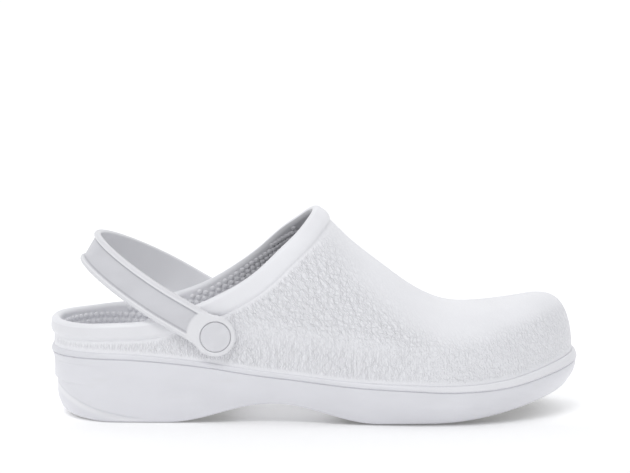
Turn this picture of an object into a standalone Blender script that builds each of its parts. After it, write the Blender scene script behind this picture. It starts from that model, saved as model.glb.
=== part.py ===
"""A moulded chef clog for the right foot, with a swinging heel strap.

Metres, +Z up, toe towards +X, outer side of the foot towards -Y.
Inside the functions x runs from the back of the heel and y from the middle of the heel.
place() moves finished points to the part's origin, under the middle of its box.
"""

import math

import bmesh
import bpy
import numpy as np

# Overall form of the shoe
LENGTH = 0.288
BALL_WIDTH = 0.105
HEEL_HEIGHT = 0.0365
INSTEP_RISE = 0.0855
HEEL_ARC = 0.038
TOE_ARC = 0.070
THROAT = 0.1455

# Sole. ARCH is the stretch of LENGTH that the arch takes, SIDE_UNDER the side's inset below the
# bead, and SEAT_BAND the share of the side's height that the slanted band around the heel takes
TOE_SPRING = 0.0175
SPRING_RUN = 0.080
SPRING_CURVE = 1.7
ARCH_RISE = 0.0106
ARCH = (0.222, 0.622)
HEEL_BEVEL = 0.0028
BEVEL_RUN = 0.030
WELT = 0.003
BEAD = 0.005
GROOVE = 0.0007
SIDE_UNDER = 0.0006
SEAT_BAND = 0.15
SEAT_STEP = 0.0011
SEAT_RUN = 0.034
CUP_FILLET = 0.003
RIM_UNDER = 0.003
TRAY = 0.003

# Upper
WALL = 0.0033
RIM_BAND = 0.0083
RIM_PROUD = 0.002
RIM_ROUND = 0.0026
CROWN = 2.1
FRONT_SQUARE = 7.5

# Insole
INSOLE = 0.005
INSOLE_LIP = 0.0012
INSOLE_DISH = 0.0085

# Outsole pads, with the stretch of LENGTH that each takes
WEB = 0.0014
LUG_PITCH = 0.006
LUG_GAP = 0.0011
HEEL_PAD = (0.045, 0.348)
FORE_PAD = (0.542, 0.931)
PAD_LANES = 5
PAD_CLEAR = 0.0008

# Strap and rivets
RIVET_AT = 0.0906
RIVET_HEIGHT = 0.0490
RIVET_INNER_AHEAD = 0.0029
RIVET_INNER_ABOVE = 0.0036
STRAP_REACH = 0.0814
STRAP_BACK = 0.052
STRAP_SQUARE = 1.7
STRAP_LIFT = math.radians(30.3)
STRAP_WIDTH = 0.0186
STRAP_BACK_WIDTH = 0.0186
STRAP_THICK = 0.0032
STRAP_RIM = 0.0033
STRAP_EDGE = 0.0007
CHANNEL = 0.0010
CHANNEL_START = 0.0155
CHANNEL_RAMP = 0.0012
DISC_RADIUS = 0.0110
BUTTON_RADIUS = 0.0080
BUTTON_PROUD = 0.0012
SHANK_RADIUS = 0.0032
WASHER_RADIUS = 0.0068
WASHER_THICK = 0.0015

GAP = 0.0003
STATIONS = 60
HEEL_ROUND = 2.2
TOE_ROUND = 2.35


class Table:
    """A short table with named columns. read() follows a smooth curve through one of them."""

    def __init__(self, columns, rows):
        self.columns = dict(zip(columns.split(), np.array(rows, dtype=float).T))
        self.at = next(iter(self.columns.values()))
        self.bends = {}

    def bend(self, column):
        """The curve's second derivative at each row, with free ends."""
        if column not in self.bends:
            run = np.diff(self.at)
            slope = np.diff(self.columns[column]) / run
            count = len(self.at)
            matrix = np.eye(count)
            right = np.zeros(count)
            for row in range(1, count - 1):
                matrix[row, row - 1:row + 2] = run[row - 1], 2 * (run[row - 1] + run[row]), run[row]
                right[row] = 6 * (slope[row] - slope[row - 1])
            self.bends[column] = np.linalg.solve(matrix, right)
        return self.bends[column]

    def read(self, column, at):
        at = np.clip(at, self.at[0], self.at[-1])
        low = np.clip(np.searchsorted(self.at, at, side="right") - 1, 0, len(self.at) - 2)
        run = self.at[low + 1] - self.at[low]
        far = (at - self.at[low]) / run
        near = 1 - far
        value, bend = self.columns[column], self.bend(column)
        arch = (near**3 - near) * bend[low] + (far**3 - far) * bend[low + 1]
        return near * value[low] + far * value[low + 1] + arch * run**2 / 6


# Shares of LENGTH, then half width and axis as shares of BALL_WIDTH, and the welt's share of WELT
PLAN = Table("at half axis welt", [
    (0.000, 0.350, 0.000, 0.53),
    (0.125, 0.358, 0.000, 0.51),
    (0.250, 0.358, 0.000, 0.48),
    (0.350, 0.362, -0.003, 0.45),
    (0.420, 0.375, -0.005, 0.44),
    (0.500, 0.405, -0.003, 0.46),
    (0.600, 0.459, 0.006, 0.52),
    (0.700, 0.500, 0.022, 0.64),
    (0.800, 0.496, 0.047, 0.78),
    (0.880, 0.464, 0.075, 0.90),
    (0.940, 0.444, 0.097, 0.97),
    (1.000, 0.434, 0.116, 1.00),
])

# Top of the welt and cup floor above the spring, as shares of HEEL_HEIGHT, and the bead's share of BEAD
EDGE = Table("at top floor bead", [
    (0.000, 1.060, 0.60, 0.62),
    (0.139, 1.055, 0.60, 0.55),
    (0.243, 0.986, 0.59, 0.53),
    (0.320, 0.907, 0.57, 0.52),
    (0.380, 0.833, 0.54, 0.52),
    (0.460, 0.765, 0.47, 0.52),
    (0.560, 0.687, 0.38, 0.53),
    (0.700, 0.640, 0.31, 0.56),
    (0.795, 0.583, 0.29, 0.64),
    (0.880, 0.509, 0.27, 0.78),
    (0.940, 0.492, 0.24, 0.92),
    (1.000, 0.456, 0.16, 1.00),
])

# How far the side of the sole draws in, as shares of HEEL_HEIGHT, and how late it does so
SIDE = Table("at draft late proud", [
    (0.00, 0.190, 8.0, 0.030),
    (0.08, 0.150, 6.5, 0.026),
    (0.20, 0.110, 3.6, 0.025),
    (0.42, 0.125, 1.3, 0.022),
    (0.58, 0.190, 2.0, 0.030),
    (0.75, 0.240, 2.7, 0.042),
    (0.88, 0.195, 2.6, 0.026),
    (1.00, 0.150, 2.4, 0.012),
])

# Rise of the upper's crown above the welt as a share of INSTEP_RISE, and how square its sides are
CROWN_LINE = Table("at rise square", [
    (0.000, 0.680, 3.00),
    (0.125, 0.700, 2.85),
    (0.235, 0.815, 2.70),
    (0.310, 0.945, 2.62),
    (0.400, 1.027, 2.42),
    (0.470, 1.030, 2.20),
    (0.513, 0.979, 2.14),
    (0.560, 0.843, 2.15),
    (0.620, 0.686, 2.25),
    (0.680, 0.537, 2.45),
    (0.730, 0.454, 2.65),
    (0.800, 0.416, 2.90),
    (0.865, 0.420, 3.05),
    (0.930, 0.432, 3.10),
    (1.000, 0.436, 3.10),
])

# Collar from the heel to the throat, in shares of THROAT: height on each side of the foot as a
# share of the crown's rise there, and the rim band's share of RIM_BAND
COLLAR = Table("at outer inner band", [
    (0.00, 0.225, 0.225, 0.77),
    (0.13, 0.220, 0.206, 0.79),
    (0.25, 0.235, 0.227, 0.82),
    (0.37, 0.256, 0.254, 0.88),
    (0.46, 0.308, 0.308, 0.94),
    (0.595, 0.393, 0.395, 0.98),
    (0.70, 0.485, 0.508, 1.00),
    (0.80, 0.610, 0.645, 1.00),
    (0.88, 0.742, 0.778, 1.00),
    (0.94, 0.850, 0.874, 1.00),
    (1.00, 1.000, 1.000, 1.00),
])
SIDES = {-1: "outer", 1: "inner"}

# Which share of the collar's half loop lies above each share of the welt's half loop
PAIRING = Table("welt collar", [
    (0.00, 0.00),
    (0.12, 0.20),
    (0.25, 0.41),
    (0.42, 0.63),
    (0.60, 0.79),
    (0.80, 0.91),
    (1.00, 1.00),
])

# Rows of the upper from the welt to the collar rim, as shares of that stretch
BODY_ROWS = (0.0, 0.06, 0.115, 0.165, 0.215, 0.28, 0.38, 0.52, 0.74, 1.0)

# Rows across the collar rim: share of RIM_BAND above its lower edge and share of RIM_PROUD
RIM_ROWS = Table("up proud", [
    (0.13, 0.62),
    (0.45, 0.95),
    (0.80, 1.00),
    (1.00, 0.95),
])


def plan_shift():
    """Moves the middle of the outline's width to y = 0."""
    across = loop(flush, 720)[:, 1]
    return -(across.min() + across.max()) / 2


def place(points):
    return np.asarray(points) + (-LENGTH / 2, PLAN_SHIFT, 0)


def half_width(x):
    return BALL_WIDTH * PLAN.read("half", x / LENGTH)


def axis(x):
    return BALL_WIDTH * PLAN.read("axis", x / LENGTH)


def flush(x):
    """No inset: the outer edge of the welt."""
    return 0 * x


def welt(x):
    """Inset of the upper's outer face from the edge of the welt."""
    return WELT * PLAN.read("welt", x / LENGTH)


def run_out(x, inset):
    """How far x lies into the round of the heel or toe, from 0 where it starts to 1 at the tip."""
    heel = (HEEL_ARC - x) / (HEEL_ARC - inset(0.0))
    toe = (x - LENGTH + TOE_ARC) / (TOE_ARC - inset(LENGTH))
    return np.clip(np.maximum(heel, toe), 0, None)


def roundness(x):
    return np.where(x < LENGTH / 2, HEEL_ROUND, TOE_ROUND)


def edge_y(x, side, inset):
    """Where the outline drawn in by the inset lies at x, on the outer (-1) or inner (+1) side."""
    power = roundness(x)
    reach = np.clip(1 - run_out(x, inset) ** power, 0, 1) ** (1 / power)
    return axis(x) + side * (half_width(x) - inset(x)) * reach


def arc_shares(points):
    steps = np.linalg.norm(np.diff(points, axis=0), axis=1)
    along = np.concatenate([[0], np.cumsum(steps)])
    return along / along[-1]


def resample(points, shares):
    """Points of a fine polyline at these shares of its length."""
    along = arc_shares(points)
    return np.stack([np.interp(shares, along, column) for column in points.T], axis=1)


def closed_loop(halves):
    """Joins an outer and an inner half, both from heel to toe, into one loop of stations."""
    outer, inner = halves
    return np.concatenate([outer, inner[-2:0:-1]])


def loop(inset, stations):
    """The outline drawn in by inset(x), as evenly spaced points from the heel along the outer side."""
    sweep = (1 - np.cos(np.linspace(0, math.pi, 721))) / 2
    x = inset(0.0) + (LENGTH - inset(LENGTH) - inset(0.0)) * sweep
    shares = np.linspace(0, 1, stations // 2 + 1)
    halves = [resample(np.stack([x, edge_y(x, side, inset)], axis=1), shares) for side in (-1, 1)]
    return closed_loop(halves)


def spring(x):
    return TOE_SPRING * (np.clip(x - LENGTH + SPRING_RUN, 0, None) / SPRING_RUN) ** SPRING_CURVE


def tread_line(x):
    """The underside of the lugs: flat under heel and ball, raised at the bevel, arch and toe."""
    arch_share = np.clip((x / LENGTH - ARCH[0]) / (ARCH[1] - ARCH[0]), 0, 1)
    bevel_share = np.clip(1 - x / BEVEL_RUN, 0, 1)
    return spring(x) + ARCH_RISE * np.sin(math.pi * arch_share) ** 2 + HEEL_BEVEL * bevel_share**1.5


def under_line(x):
    """The rim of the sole's underside, a little above the lugs."""
    return tread_line(x) + HEEL_HEIGHT * SIDE.read("proud", x / LENGTH)


def tray_line(x):
    return under_line(x) + TRAY


def welt_top(x):
    return spring(x) + HEEL_HEIGHT * EDGE.read("top", x / LENGTH)


def bead_height(x):
    return BEAD * EDGE.read("bead", x / LENGTH)


def cup_floor(x):
    return spring(x) + HEEL_HEIGHT * EDGE.read("floor", x / LENGTH)


def crown_rise(x):
    return INSTEP_RISE * CROWN_LINE.read("rise", x / LENGTH)


def gauge(x, y):
    """0 on the axis of the last, 1 on the upper's foot, and the power of its section there."""
    power = roundness(x)
    ahead = run_out(x, welt) ** power
    beside = (np.abs(y - axis(x)) / (half_width(x) - welt(x))) ** power
    total = np.maximum(ahead + beside, 1e-12)
    side_square = CROWN_LINE.read("square", x / LENGTH)
    front = np.where(x > LENGTH / 2, ahead / total, 0)
    return total ** (1 / power), side_square + (FRONT_SQUARE - side_square) * front


def crown(x, y):
    """Height of the upper's outer face above the point x, y."""
    share, square = gauge(x, y)
    return welt_top(x) + crown_rise(x) * np.clip(1 - share**square, 0, 1) ** (1 / CROWN)


def outward(points):
    """Unit normals of the upper's outer face, from the slope of the function that is 0 on it."""
    step = 1e-5

    def level(p):
        share, square = gauge(p[..., 0], p[..., 1])
        up = np.clip(p[..., 2] - welt_top(p[..., 0]), 0, None) / crown_rise(p[..., 0])
        return share**square + up**CROWN

    slopes = [level(points + step * unit) - level(points - step * unit) for unit in np.eye(3)]
    normal = np.stack(slopes, axis=-1)
    return normal / np.linalg.norm(normal, axis=-1, keepdims=True)


def collar_half(side):
    """One half of the collar line on the upper's outer face, from the heel to the throat."""

    def share_at(x):
        rise = COLLAR.read(SIDES[side], x / THROAT)
        square = CROWN_LINE.read("square", x / LENGTH)
        return np.clip(1 - rise**CROWN, 0, 1) ** (1 / square)

    foot = welt(0.0)
    start = foot
    for _ in range(8):
        start = HEEL_ARC - share_at(start) * (HEEL_ARC - foot)
    sweep = (1 - np.cos(np.linspace(0, math.pi, 601))) / 2
    x = start + (THROAT - start) * sweep
    ahead = run_out(x, welt) ** HEEL_ROUND
    reach = np.clip(share_at(x) ** HEEL_ROUND - ahead, 0, 1) ** (1 / HEEL_ROUND)
    y = axis(x) + side * (half_width(x) - welt(x)) * reach
    return np.stack([x, y, crown(x, y)], axis=1)


def collar_loop(stations):
    shares = PAIRING.read("collar", np.linspace(0, 1, stations // 2 + 1))
    return closed_loop([resample(collar_half(side), shares) for side in (-1, 1)])


def shell_rows(stations, body_rows, rim_rows):
    """Points on the upper's outer face, one row of stations for each share, and the rim's frame."""
    foot, collar = loop(welt, stations), collar_loop(stations)
    climb = np.linspace(0, 1, 400)[:, None, None] ** 2.5
    flat = foot + (collar[:, :2] - foot) * climb
    path = np.concatenate([flat, crown(flat[..., 0], flat[..., 1])[..., None]], axis=2)
    along = np.concatenate([np.zeros((1, stations)),
                            np.cumsum(np.linalg.norm(np.diff(path, axis=0), axis=2), axis=0)])
    tangent = np.roll(collar, -1, axis=0) - np.roll(collar, 1, axis=0)
    tangent /= np.linalg.norm(tangent, axis=1, keepdims=True)
    normal = outward(collar)
    lip = np.cross(normal, tangent)
    lip /= np.linalg.norm(lip, axis=1, keepdims=True)
    last_step = path[-1] - path[-8]
    last_step /= np.linalg.norm(last_step, axis=1, keepdims=True)
    square_on = np.abs(np.sum(lip * last_step, axis=1))
    lip *= np.sign(np.sum(lip * last_step, axis=1))[:, None]
    band = RIM_BAND * COLLAR.read("band", collar[:, 0] / THROAT) / np.clip(square_on, 0.5, 1)
    rows = [share * (along[-1] - band) for share in body_rows]
    rows += [along[-1] - band * (1 - up) for up in rim_rows]
    surface = np.array([[[np.interp(row[j], along[:, j], path[:, j, k]) for k in range(3)]
                         for j in range(stations)] for row in rows])
    surface[-1] = collar
    return surface, normal, lip


def tidy_object(name, mesh, material):
    mesh.materials.append(material)
    body = bpy.data.objects.new(name, mesh)
    bpy.context.scene.collection.objects.link(body)
    return body


def ring_faces(first, second, count):
    """Quads between two loops of count points that start at these vertex numbers."""
    following = [(i + 1) % count for i in range(count)]
    return [(first + i, first + following[i], second + following[i], second + i) for i in range(count)]


def ladder_faces(first, count):
    """Closes a loop of stations with rungs from its outer to its inner side."""
    faces = [(first, first + 1, first + count - 1)]
    for i in range(1, count // 2 - 1):
        faces.append((first + i, first + i + 1, first + count - i - 1, first + count - i))
    half = count // 2
    faces.append((first + half - 1, first + half, first + half + 1))
    return faces


def closed_body(name, rings, material, ends):
    """A solid from loops of points: its ends are closed by rungs, or joined to each other."""
    count = len(rings[0])
    faces = []
    for i in range(len(rings) - 1):
        faces += ring_faces(i * count, (i + 1) * count, count)
    if ends == "joined":
        faces += ring_faces((len(rings) - 1) * count, 0, count)
    else:
        faces += ladder_faces(0, count) + ladder_faces((len(rings) - 1) * count, count)
    mesh = bpy.data.meshes.new(name)
    mesh.from_pydata([tuple(p) for p in place(np.concatenate(rings))], [], faces)
    outward_faces(mesh)
    return tidy_object(name, mesh, material)


def outward_faces(mesh):
    shape = bmesh.new()
    shape.from_mesh(mesh)
    bmesh.ops.recalc_face_normals(shape, faces=shape.faces)
    shape.to_mesh(mesh)
    shape.free()
    mesh.shade_smooth()
    mesh.set_sharp_from_angle(angle=math.radians(35))


def plain_material(name, colour, roughness):
    material = bpy.data.materials.new(name)
    material.use_nodes = True
    shader = material.node_tree.nodes["Principled BSDF"]
    shader.inputs["Base Color"].default_value = (*colour, 1)
    shader.inputs["Roughness"].default_value = roughness
    shader.inputs["Metallic"].default_value = 0
    return material


def turned(name, profile, centre, side, material=None, segments=24):
    """A body turned about a line along Y. The profile holds radius and y; side -1 faces -Y."""
    rings = []
    for radius, y in profile:
        angle = np.linspace(0, 2 * math.pi, segments, endpoint=False)
        rings.append(np.stack([centre[0] + radius * np.cos(angle), np.full(segments, y),
                               centre[1] + side * radius * np.sin(angle)], axis=1))
    count = segments
    faces = []
    for i in range(len(rings) - 1):
        faces += ring_faces(i * count, (i + 1) * count, count)
    if profile[0] == profile[-1]:
        rings.pop()
        faces = faces[:-count] + ring_faces((len(rings) - 1) * count, 0, count)
    else:
        last = (len(rings) - 1) * count
        faces += [tuple(range(count)), tuple(range(last, last + count))]
    mesh = bpy.data.meshes.new(name)
    mesh.from_pydata([tuple(p) for p in place(np.concatenate(rings))], [], faces)
    outward_faces(mesh)
    if material is None:
        body = bpy.data.objects.new(name, mesh)
        bpy.context.scene.collection.objects.link(body)
        body.hide_render = True
        body.display_type = "WIRE"
        return body
    return tidy_object(name, mesh, material)


def boolean(body, tool, operation):
    modifier = body.modifiers.new(tool.name, "BOOLEAN")
    modifier.operation = operation
    modifier.solver = "EXACT"
    modifier.object = tool


class Rivet:
    """Where one end of the strap is fastened, and the faces stacked along its shank."""

    def __init__(self, name, side):
        self.name = name
        self.side = side
        inner = side > 0
        self.x = RIVET_AT + (RIVET_INNER_AHEAD if inner else 0)
        self.z = RIVET_HEIGHT + (RIVET_INNER_ABOVE if inner else 0)
        self.wall = abs(self.face_at(self.x, self.z))
        self.boss = self.clear_of_rim() + GAP
        self.strap_in = self.boss + GAP
        self.strap_out = self.strap_in + STRAP_THICK
        self.inside = abs(self.face_at(self.x, self.z + WASHER_RADIUS)) - WALL - 2 * GAP

    def face_at(self, x, z):
        """The upper's outer face at x and z."""
        rise = np.clip((z - welt_top(x)) / crown_rise(x), 0, 1)
        square = CROWN_LINE.read("square", x / LENGTH)
        share = (1 - rise**CROWN) ** (1 / square)
        return axis(x) + self.side * (half_width(x) - welt(x)) * share

    def clear_of_rim(self):
        """The furthest that the upper's collar rim stands out beside the strap's arm."""
        back = np.linspace(0, STRAP_REACH - STRAP_BACK, 30)
        x = self.x - back * math.cos(STRAP_LIFT)
        rise = COLLAR.read(SIDES[self.side], x / THROAT)
        z = welt_top(x) + crown_rise(x) * rise - RIM_BAND * COLLAR.read("band", x / THROAT)
        return np.max(np.abs(self.face_at(x, z))) + RIM_PROUD

    def y(self, distance):
        return self.side * distance


def build_upper(rivets, material):
    rim_up, rim_proud = RIM_ROWS.columns["up"], RIM_ROWS.columns["proud"]
    surface, normal, lip = shell_rows(STATIONS, BODY_ROWS, rim_up)
    normals = outward(surface)
    foot = normals[0] * (1, 1, 0)
    normals[0] = foot / np.linalg.norm(foot, axis=1, keepdims=True)
    normals[-1] = normal
    body_count = len(BODY_ROWS)
    rings = list(surface[:body_count])
    for row, proud in enumerate(rim_proud, start=body_count):
        rings.append(surface[row] + RIM_PROUD * proud * normals[row])
    collar = surface[-1]
    middle, reach = (RIM_PROUD - WALL) / 2, (RIM_PROUD + WALL) / 2
    for turn in np.radians((35, 70, 105, 145)):
        rings.append(collar + lip * RIM_ROUND * math.sin(turn)
                     + normal * (middle + reach * math.cos(turn)))
    inner_rows = [row for row in range(len(surface) - 1, -1, -1) if row != body_count + 1]
    for row in inner_rows:
        rings.append(surface[row] - WALL * normals[row])
    upper = closed_body("upper", rings, material, "joined")
    for rivet in rivets:
        middle_of_wall = rivet.wall - WALL / 2
        boss = turned(f"boss_{rivet.name}", [
            (DISC_RADIUS - 2 * GAP, rivet.y(rivet.boss)),
            (DISC_RADIUS - 2 * GAP, rivet.y(middle_of_wall)),
            (WASHER_RADIUS + GAP, rivet.y(middle_of_wall)),
            (WASHER_RADIUS + GAP, rivet.y(rivet.inside)),
        ], (rivet.x, rivet.z), rivet.side, segments=32)
        bore = shank_bore(rivet)
        boolean(upper, boss, "UNION")
        boolean(upper, bore, "DIFFERENCE")
    return upper


def shank_bore(rivet):
    return turned(f"bore_{rivet.name}", [
        (SHANK_RADIUS + GAP, rivet.y(rivet.strap_out + BUTTON_PROUD)),
        (SHANK_RADIUS + GAP, rivet.y(rivet.inside - WALL)),
    ], (rivet.x, rivet.z), rivet.side, segments=24)


def side_inset(share):
    """Inset of the sole's side at this share of its height below the groove."""

    def inset(x):
        draft = HEEL_HEIGHT * SIDE.read("draft", x / LENGTH)
        around_heel = np.clip(2 - 2 * x / SEAT_RUN, 0, 1)
        seat = SEAT_STEP * around_heel * min(share / SEAT_BAND, 1) * min(2 - 2 * share, 1)
        return SIDE_UNDER + seat + draft * share ** SIDE.read("late", x / LENGTH)
    return inset


def inside_wall(x):
    return welt(x) + WALL


def build_sole(material):
    def below_welt(share, extra=0.0):
        return lambda x: welt_top(x) - share * bead_height(x) - extra

    def side_line(share):
        return lambda x: (1 - share) * below_welt(1.0, 2 * GROOVE)(x) + share * under_line(x)

    rows = [
        (lambda x: inside_wall(x) + CUP_FILLET, cup_floor),
        (inside_wall, lambda x: cup_floor(x) + CUP_FILLET),
        (inside_wall, lambda x: welt_top(x) - GAP),
        (lambda x: 0.9 * welt(x), lambda x: welt_top(x) - GAP),
        (lambda x: 0.4 * welt(x), below_welt(0.2)),
        (lambda x: 0.05 * welt(x), below_welt(0.55)),
        (flush, below_welt(0.9)),
        (lambda x: flush(x) + 1.4 * GROOVE, below_welt(1.0, 0.5 * GROOVE)),
    ]
    rows += [(side_inset(share), side_line(share)) for share in (0.0, SEAT_BAND, 0.5, 0.75, 0.9, 1.0)]
    edge = side_inset(1.0)
    rows += [
        (lambda x: edge(x) + RIM_UNDER, under_line),
        (lambda x: edge(x) + RIM_UNDER, tray_line),
    ]
    rings = []
    for inset, height in rows:
        ring = loop(inset, STATIONS)
        rings.append(np.column_stack([ring, height(ring[:, 0])]))
    return closed_body("sole", rings, material, "closed")


def build_insole(material):
    def above_floor(height):
        return lambda x: cup_floor(x) + height

    rows = [
        (lambda x: inside_wall(x) + CUP_FILLET + GAP, above_floor(GAP)),
        (lambda x: inside_wall(x) + 2 * GAP, above_floor(CUP_FILLET + 2 * GAP)),
        (lambda x: inside_wall(x) + 2 * GAP, above_floor(INSOLE + INSOLE_LIP)),
        (lambda x: inside_wall(x) + 0.4 * INSOLE_DISH, above_floor(INSOLE + 0.4 * INSOLE_LIP)),
        (lambda x: inside_wall(x) + INSOLE_DISH, above_floor(INSOLE)),
    ]
    rings = []
    for inset, height in rows:
        ring = loop(inset, STATIONS)
        rings.append(np.column_stack([ring, height(ring[:, 0])]))
    return closed_body("insole", rings, material, "closed")


def build_pad(name, stretch, material):
    """A tread pad in the sole's tray: a web with a lug drawn down from each of its cells."""
    start, end = (share * LENGTH for share in stretch)
    edge = side_inset(1.0)

    def border(x):
        return edge(x) + RIM_UNDER + PAD_CLEAR

    rows = max(2, round((end - start) / LUG_PITCH))
    x = np.linspace(start, end, rows + 1)
    across = np.linspace(0, 1, PAD_LANES + 1)
    outer, inner = edge_y(x, -1, border), edge_y(x, 1, border)
    y = outer[:, None] + (inner - outer)[:, None] * across
    along = np.repeat(x[:, None], PAD_LANES + 1, axis=1)
    shape = bmesh.new()
    layers = []
    for drop in (1.5 * GAP, 1.5 * GAP + WEB):
        points = place(np.stack([along, y, tray_line(along) - drop], axis=-1))
        layers.append([[shape.verts.new(p) for p in row] for row in points])
    top, bottom = layers
    cells = []
    for i in range(rows):
        for j in range(PAD_LANES):
            shape.faces.new((top[i][j], top[i + 1][j], top[i + 1][j + 1], top[i][j + 1]))
            cells.append(shape.faces.new((bottom[i][j], bottom[i][j + 1],
                                          bottom[i + 1][j + 1], bottom[i + 1][j])))
    border_ids = [(i, 0) for i in range(rows + 1)] + [(rows, j) for j in range(1, PAD_LANES + 1)]
    border_ids += [(i, PAD_LANES) for i in range(rows - 1, -1, -1)]
    border_ids += [(0, j) for j in range(PAD_LANES - 1, 0, -1)]
    for (i, j), (k, m) in zip(border_ids, border_ids[1:] + border_ids[:1]):
        shape.faces.new((top[i][j], bottom[i][j], bottom[k][m], top[k][m]))
    bmesh.ops.recalc_face_normals(shape, faces=shape.faces)
    bmesh.ops.inset_individual(shape, faces=cells, thickness=LUG_GAP / 2, use_even_offset=True)
    lugs = bmesh.ops.extrude_discrete_faces(shape, faces=cells)["faces"]
    for lug in lugs:
        for corner in lug.verts:
            corner.co.z = tread_line(corner.co.x + LENGTH / 2)
    mesh = bpy.data.meshes.new(name)
    shape.to_mesh(mesh)
    shape.free()
    mesh.set_sharp_from_angle(angle=math.radians(35))
    return tidy_object(name, mesh, material)


def strap_half_width(back):
    """Half the strap's width this far back from a rivet, with the disc around the rivet."""
    disc = np.sqrt(np.clip(DISC_RADIUS**2 - back**2, 0, None))
    band = STRAP_WIDTH + (STRAP_BACK_WIDTH - STRAP_WIDTH) * max(back, 0) / STRAP_REACH
    if back < 0:
        return max(disc, 0.1 * DISC_RADIUS)
    return (disc**8 + (band / 2) ** 8) ** (1 / 8)


def strap_sections(rivets):
    """For each section: distance back, place across, direction out of the loop, channel share."""
    outer, inner = rivets
    left = outer.y((outer.strap_in + outer.strap_out) / 2)
    right = inner.y((inner.strap_in + inner.strap_out) / 2)
    middle, reach = (left + right) / 2, (right - left) / 2
    straight = STRAP_REACH - STRAP_BACK
    disc_backs = DISC_RADIUS * np.array((-0.99, -0.93, -0.8, -0.6, -0.3, 0, 0.3, 0.55, 0.75, 0.95))
    backs = list(disc_backs) + [CHANNEL_START - CHANNEL_RAMP, CHANNEL_START, (CHANNEL_START + straight) / 2]
    arm = [(back, -1.0, (0.0, -1.0), float(back >= CHANNEL_START)) for back in backs]
    turn = []
    power = 2 / STRAP_SQUARE
    for angle in np.linspace(0, math.pi / 2, 9):
        cos, sin = math.cos(angle), math.sin(angle)
        across = -(abs(cos) ** power)
        back = straight + STRAP_BACK * sin**power
        out = np.array((sin ** (2 - power) / STRAP_BACK, -(abs(cos) ** (2 - power)) / reach))
        out /= np.linalg.norm(out)
        turn.append((back, across, tuple(out), 1.0))
    half = arm + turn
    mirrored = [(back, -across, (out[0], -out[1]), deep) for back, across, out, deep in half[-2::-1]]
    return [(back, middle + reach * across, across, out, deep) for back, across, out, deep in half + mirrored]


def build_strap(rivets, material):
    outer, inner = rivets
    pivot = np.array(((outer.x + inner.x) / 2, 0, (outer.z + inner.z) / 2))
    lean = np.array(((inner.x - outer.x) / 2, 0, (inner.z - outer.z) / 2))
    backward = np.array((-math.cos(STRAP_LIFT), 0, math.sin(STRAP_LIFT)))
    upward = np.array((math.sin(STRAP_LIFT), 0, math.cos(STRAP_LIFT)))
    sideways = np.array((0, 1, 0))
    rings = []
    for back, y, across, out, deep in strap_sections(rivets):
        centre = pivot + lean * across + backward * back + sideways * y
        outwards = backward * out[0] + sideways * out[1]
        half = strap_half_width(back)
        soft = min(STRAP_EDGE, 0.3 * half)
        rim = min(STRAP_RIM, 0.45 * half)
        thick = STRAP_THICK / 2
        low = thick - CHANNEL * deep
        profile = [
            (-half, -thick + soft), (-half, thick - soft), (-half + soft, thick),
            (-half + rim - soft / 2, thick), (-half + rim, low), (half - rim, low),
            (half - rim + soft / 2, thick), (half - soft, thick), (half, thick - soft),
            (half, -thick + soft), (half - soft, -thick), (-half + soft, -thick),
        ]
        rings.append(np.array([centre + upward * w + outwards * t for w, t in profile]))
    strap = swept_body("heel_strap", rings, material)
    for rivet in rivets:
        boolean(strap, shank_bore(rivet), "DIFFERENCE")
    return strap


def swept_body(name, rings, material):
    count = len(rings[0])
    faces = []
    for i in range(len(rings) - 1):
        faces += ring_faces(i * count, (i + 1) * count, count)
    last = (len(rings) - 1) * count
    faces += [tuple(range(count)), tuple(range(last, last + count))]
    mesh = bpy.data.meshes.new(name)
    mesh.from_pydata([tuple(p) for p in place(np.concatenate(rings))], [], faces)
    outward_faces(mesh)
    return tidy_object(name, mesh, material)


def build_fastening(rivet, material):
    """The button with its shank, and the washer that the shank ends in."""
    face = rivet.strap_out
    washer_out = rivet.inside - GAP
    washer_in = washer_out - WASHER_THICK
    turned(f"button_{rivet.name}", [
        (0.6 * BUTTON_RADIUS, rivet.y(face + BUTTON_PROUD)),
        (0.93 * BUTTON_RADIUS, rivet.y(face + 0.85 * BUTTON_PROUD)),
        (BUTTON_RADIUS, rivet.y(face + 0.45 * BUTTON_PROUD)),
        (BUTTON_RADIUS, rivet.y(face + GAP)),
        (SHANK_RADIUS, rivet.y(face + GAP)),
        (SHANK_RADIUS, rivet.y(washer_in)),
    ], (rivet.x, rivet.z), rivet.side, material)
    bore = SHANK_RADIUS + GAP
    turned(f"washer_{rivet.name}", [
        (bore, rivet.y(washer_out)),
        (WASHER_RADIUS, rivet.y(washer_out)),
        (WASHER_RADIUS, rivet.y(washer_in + 0.3 * WASHER_THICK)),
        (0.9 * WASHER_RADIUS, rivet.y(washer_in)),
        (bore, rivet.y(washer_in)),
        (bore, rivet.y(washer_out)),
    ], (rivet.x, rivet.z), rivet.side, material)


def build():
    for old in list(bpy.data.objects):
        bpy.data.objects.remove(old)
    foam = plain_material("white_foam", (0.82, 0.82, 0.85), 0.42)
    sole_foam = plain_material("sole_foam", (0.80, 0.80, 0.84), 0.38)
    lining = plain_material("footbed_foam", (0.78, 0.78, 0.82), 0.55)
    rubber = plain_material("tread_rubber", (0.20, 0.19, 0.18), 0.6)
    strap_foam = plain_material("strap_foam", (0.74, 0.74, 0.78), 0.35)
    button_plastic = plain_material("button_plastic", (0.72, 0.72, 0.76), 0.4)
    rivets = [Rivet("outer", -1), Rivet("inner", 1)]
    build_upper(rivets, foam)
    build_sole(sole_foam)
    build_insole(lining)
    build_pad("outsole_heel", HEEL_PAD, rubber)
    build_pad("outsole_forefoot", FORE_PAD, rubber)
    build_strap(rivets, strap_foam)
    for rivet in rivets:
        build_fastening(rivet, button_plastic)


PLAN_SHIFT = plan_shift()
build()
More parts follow.
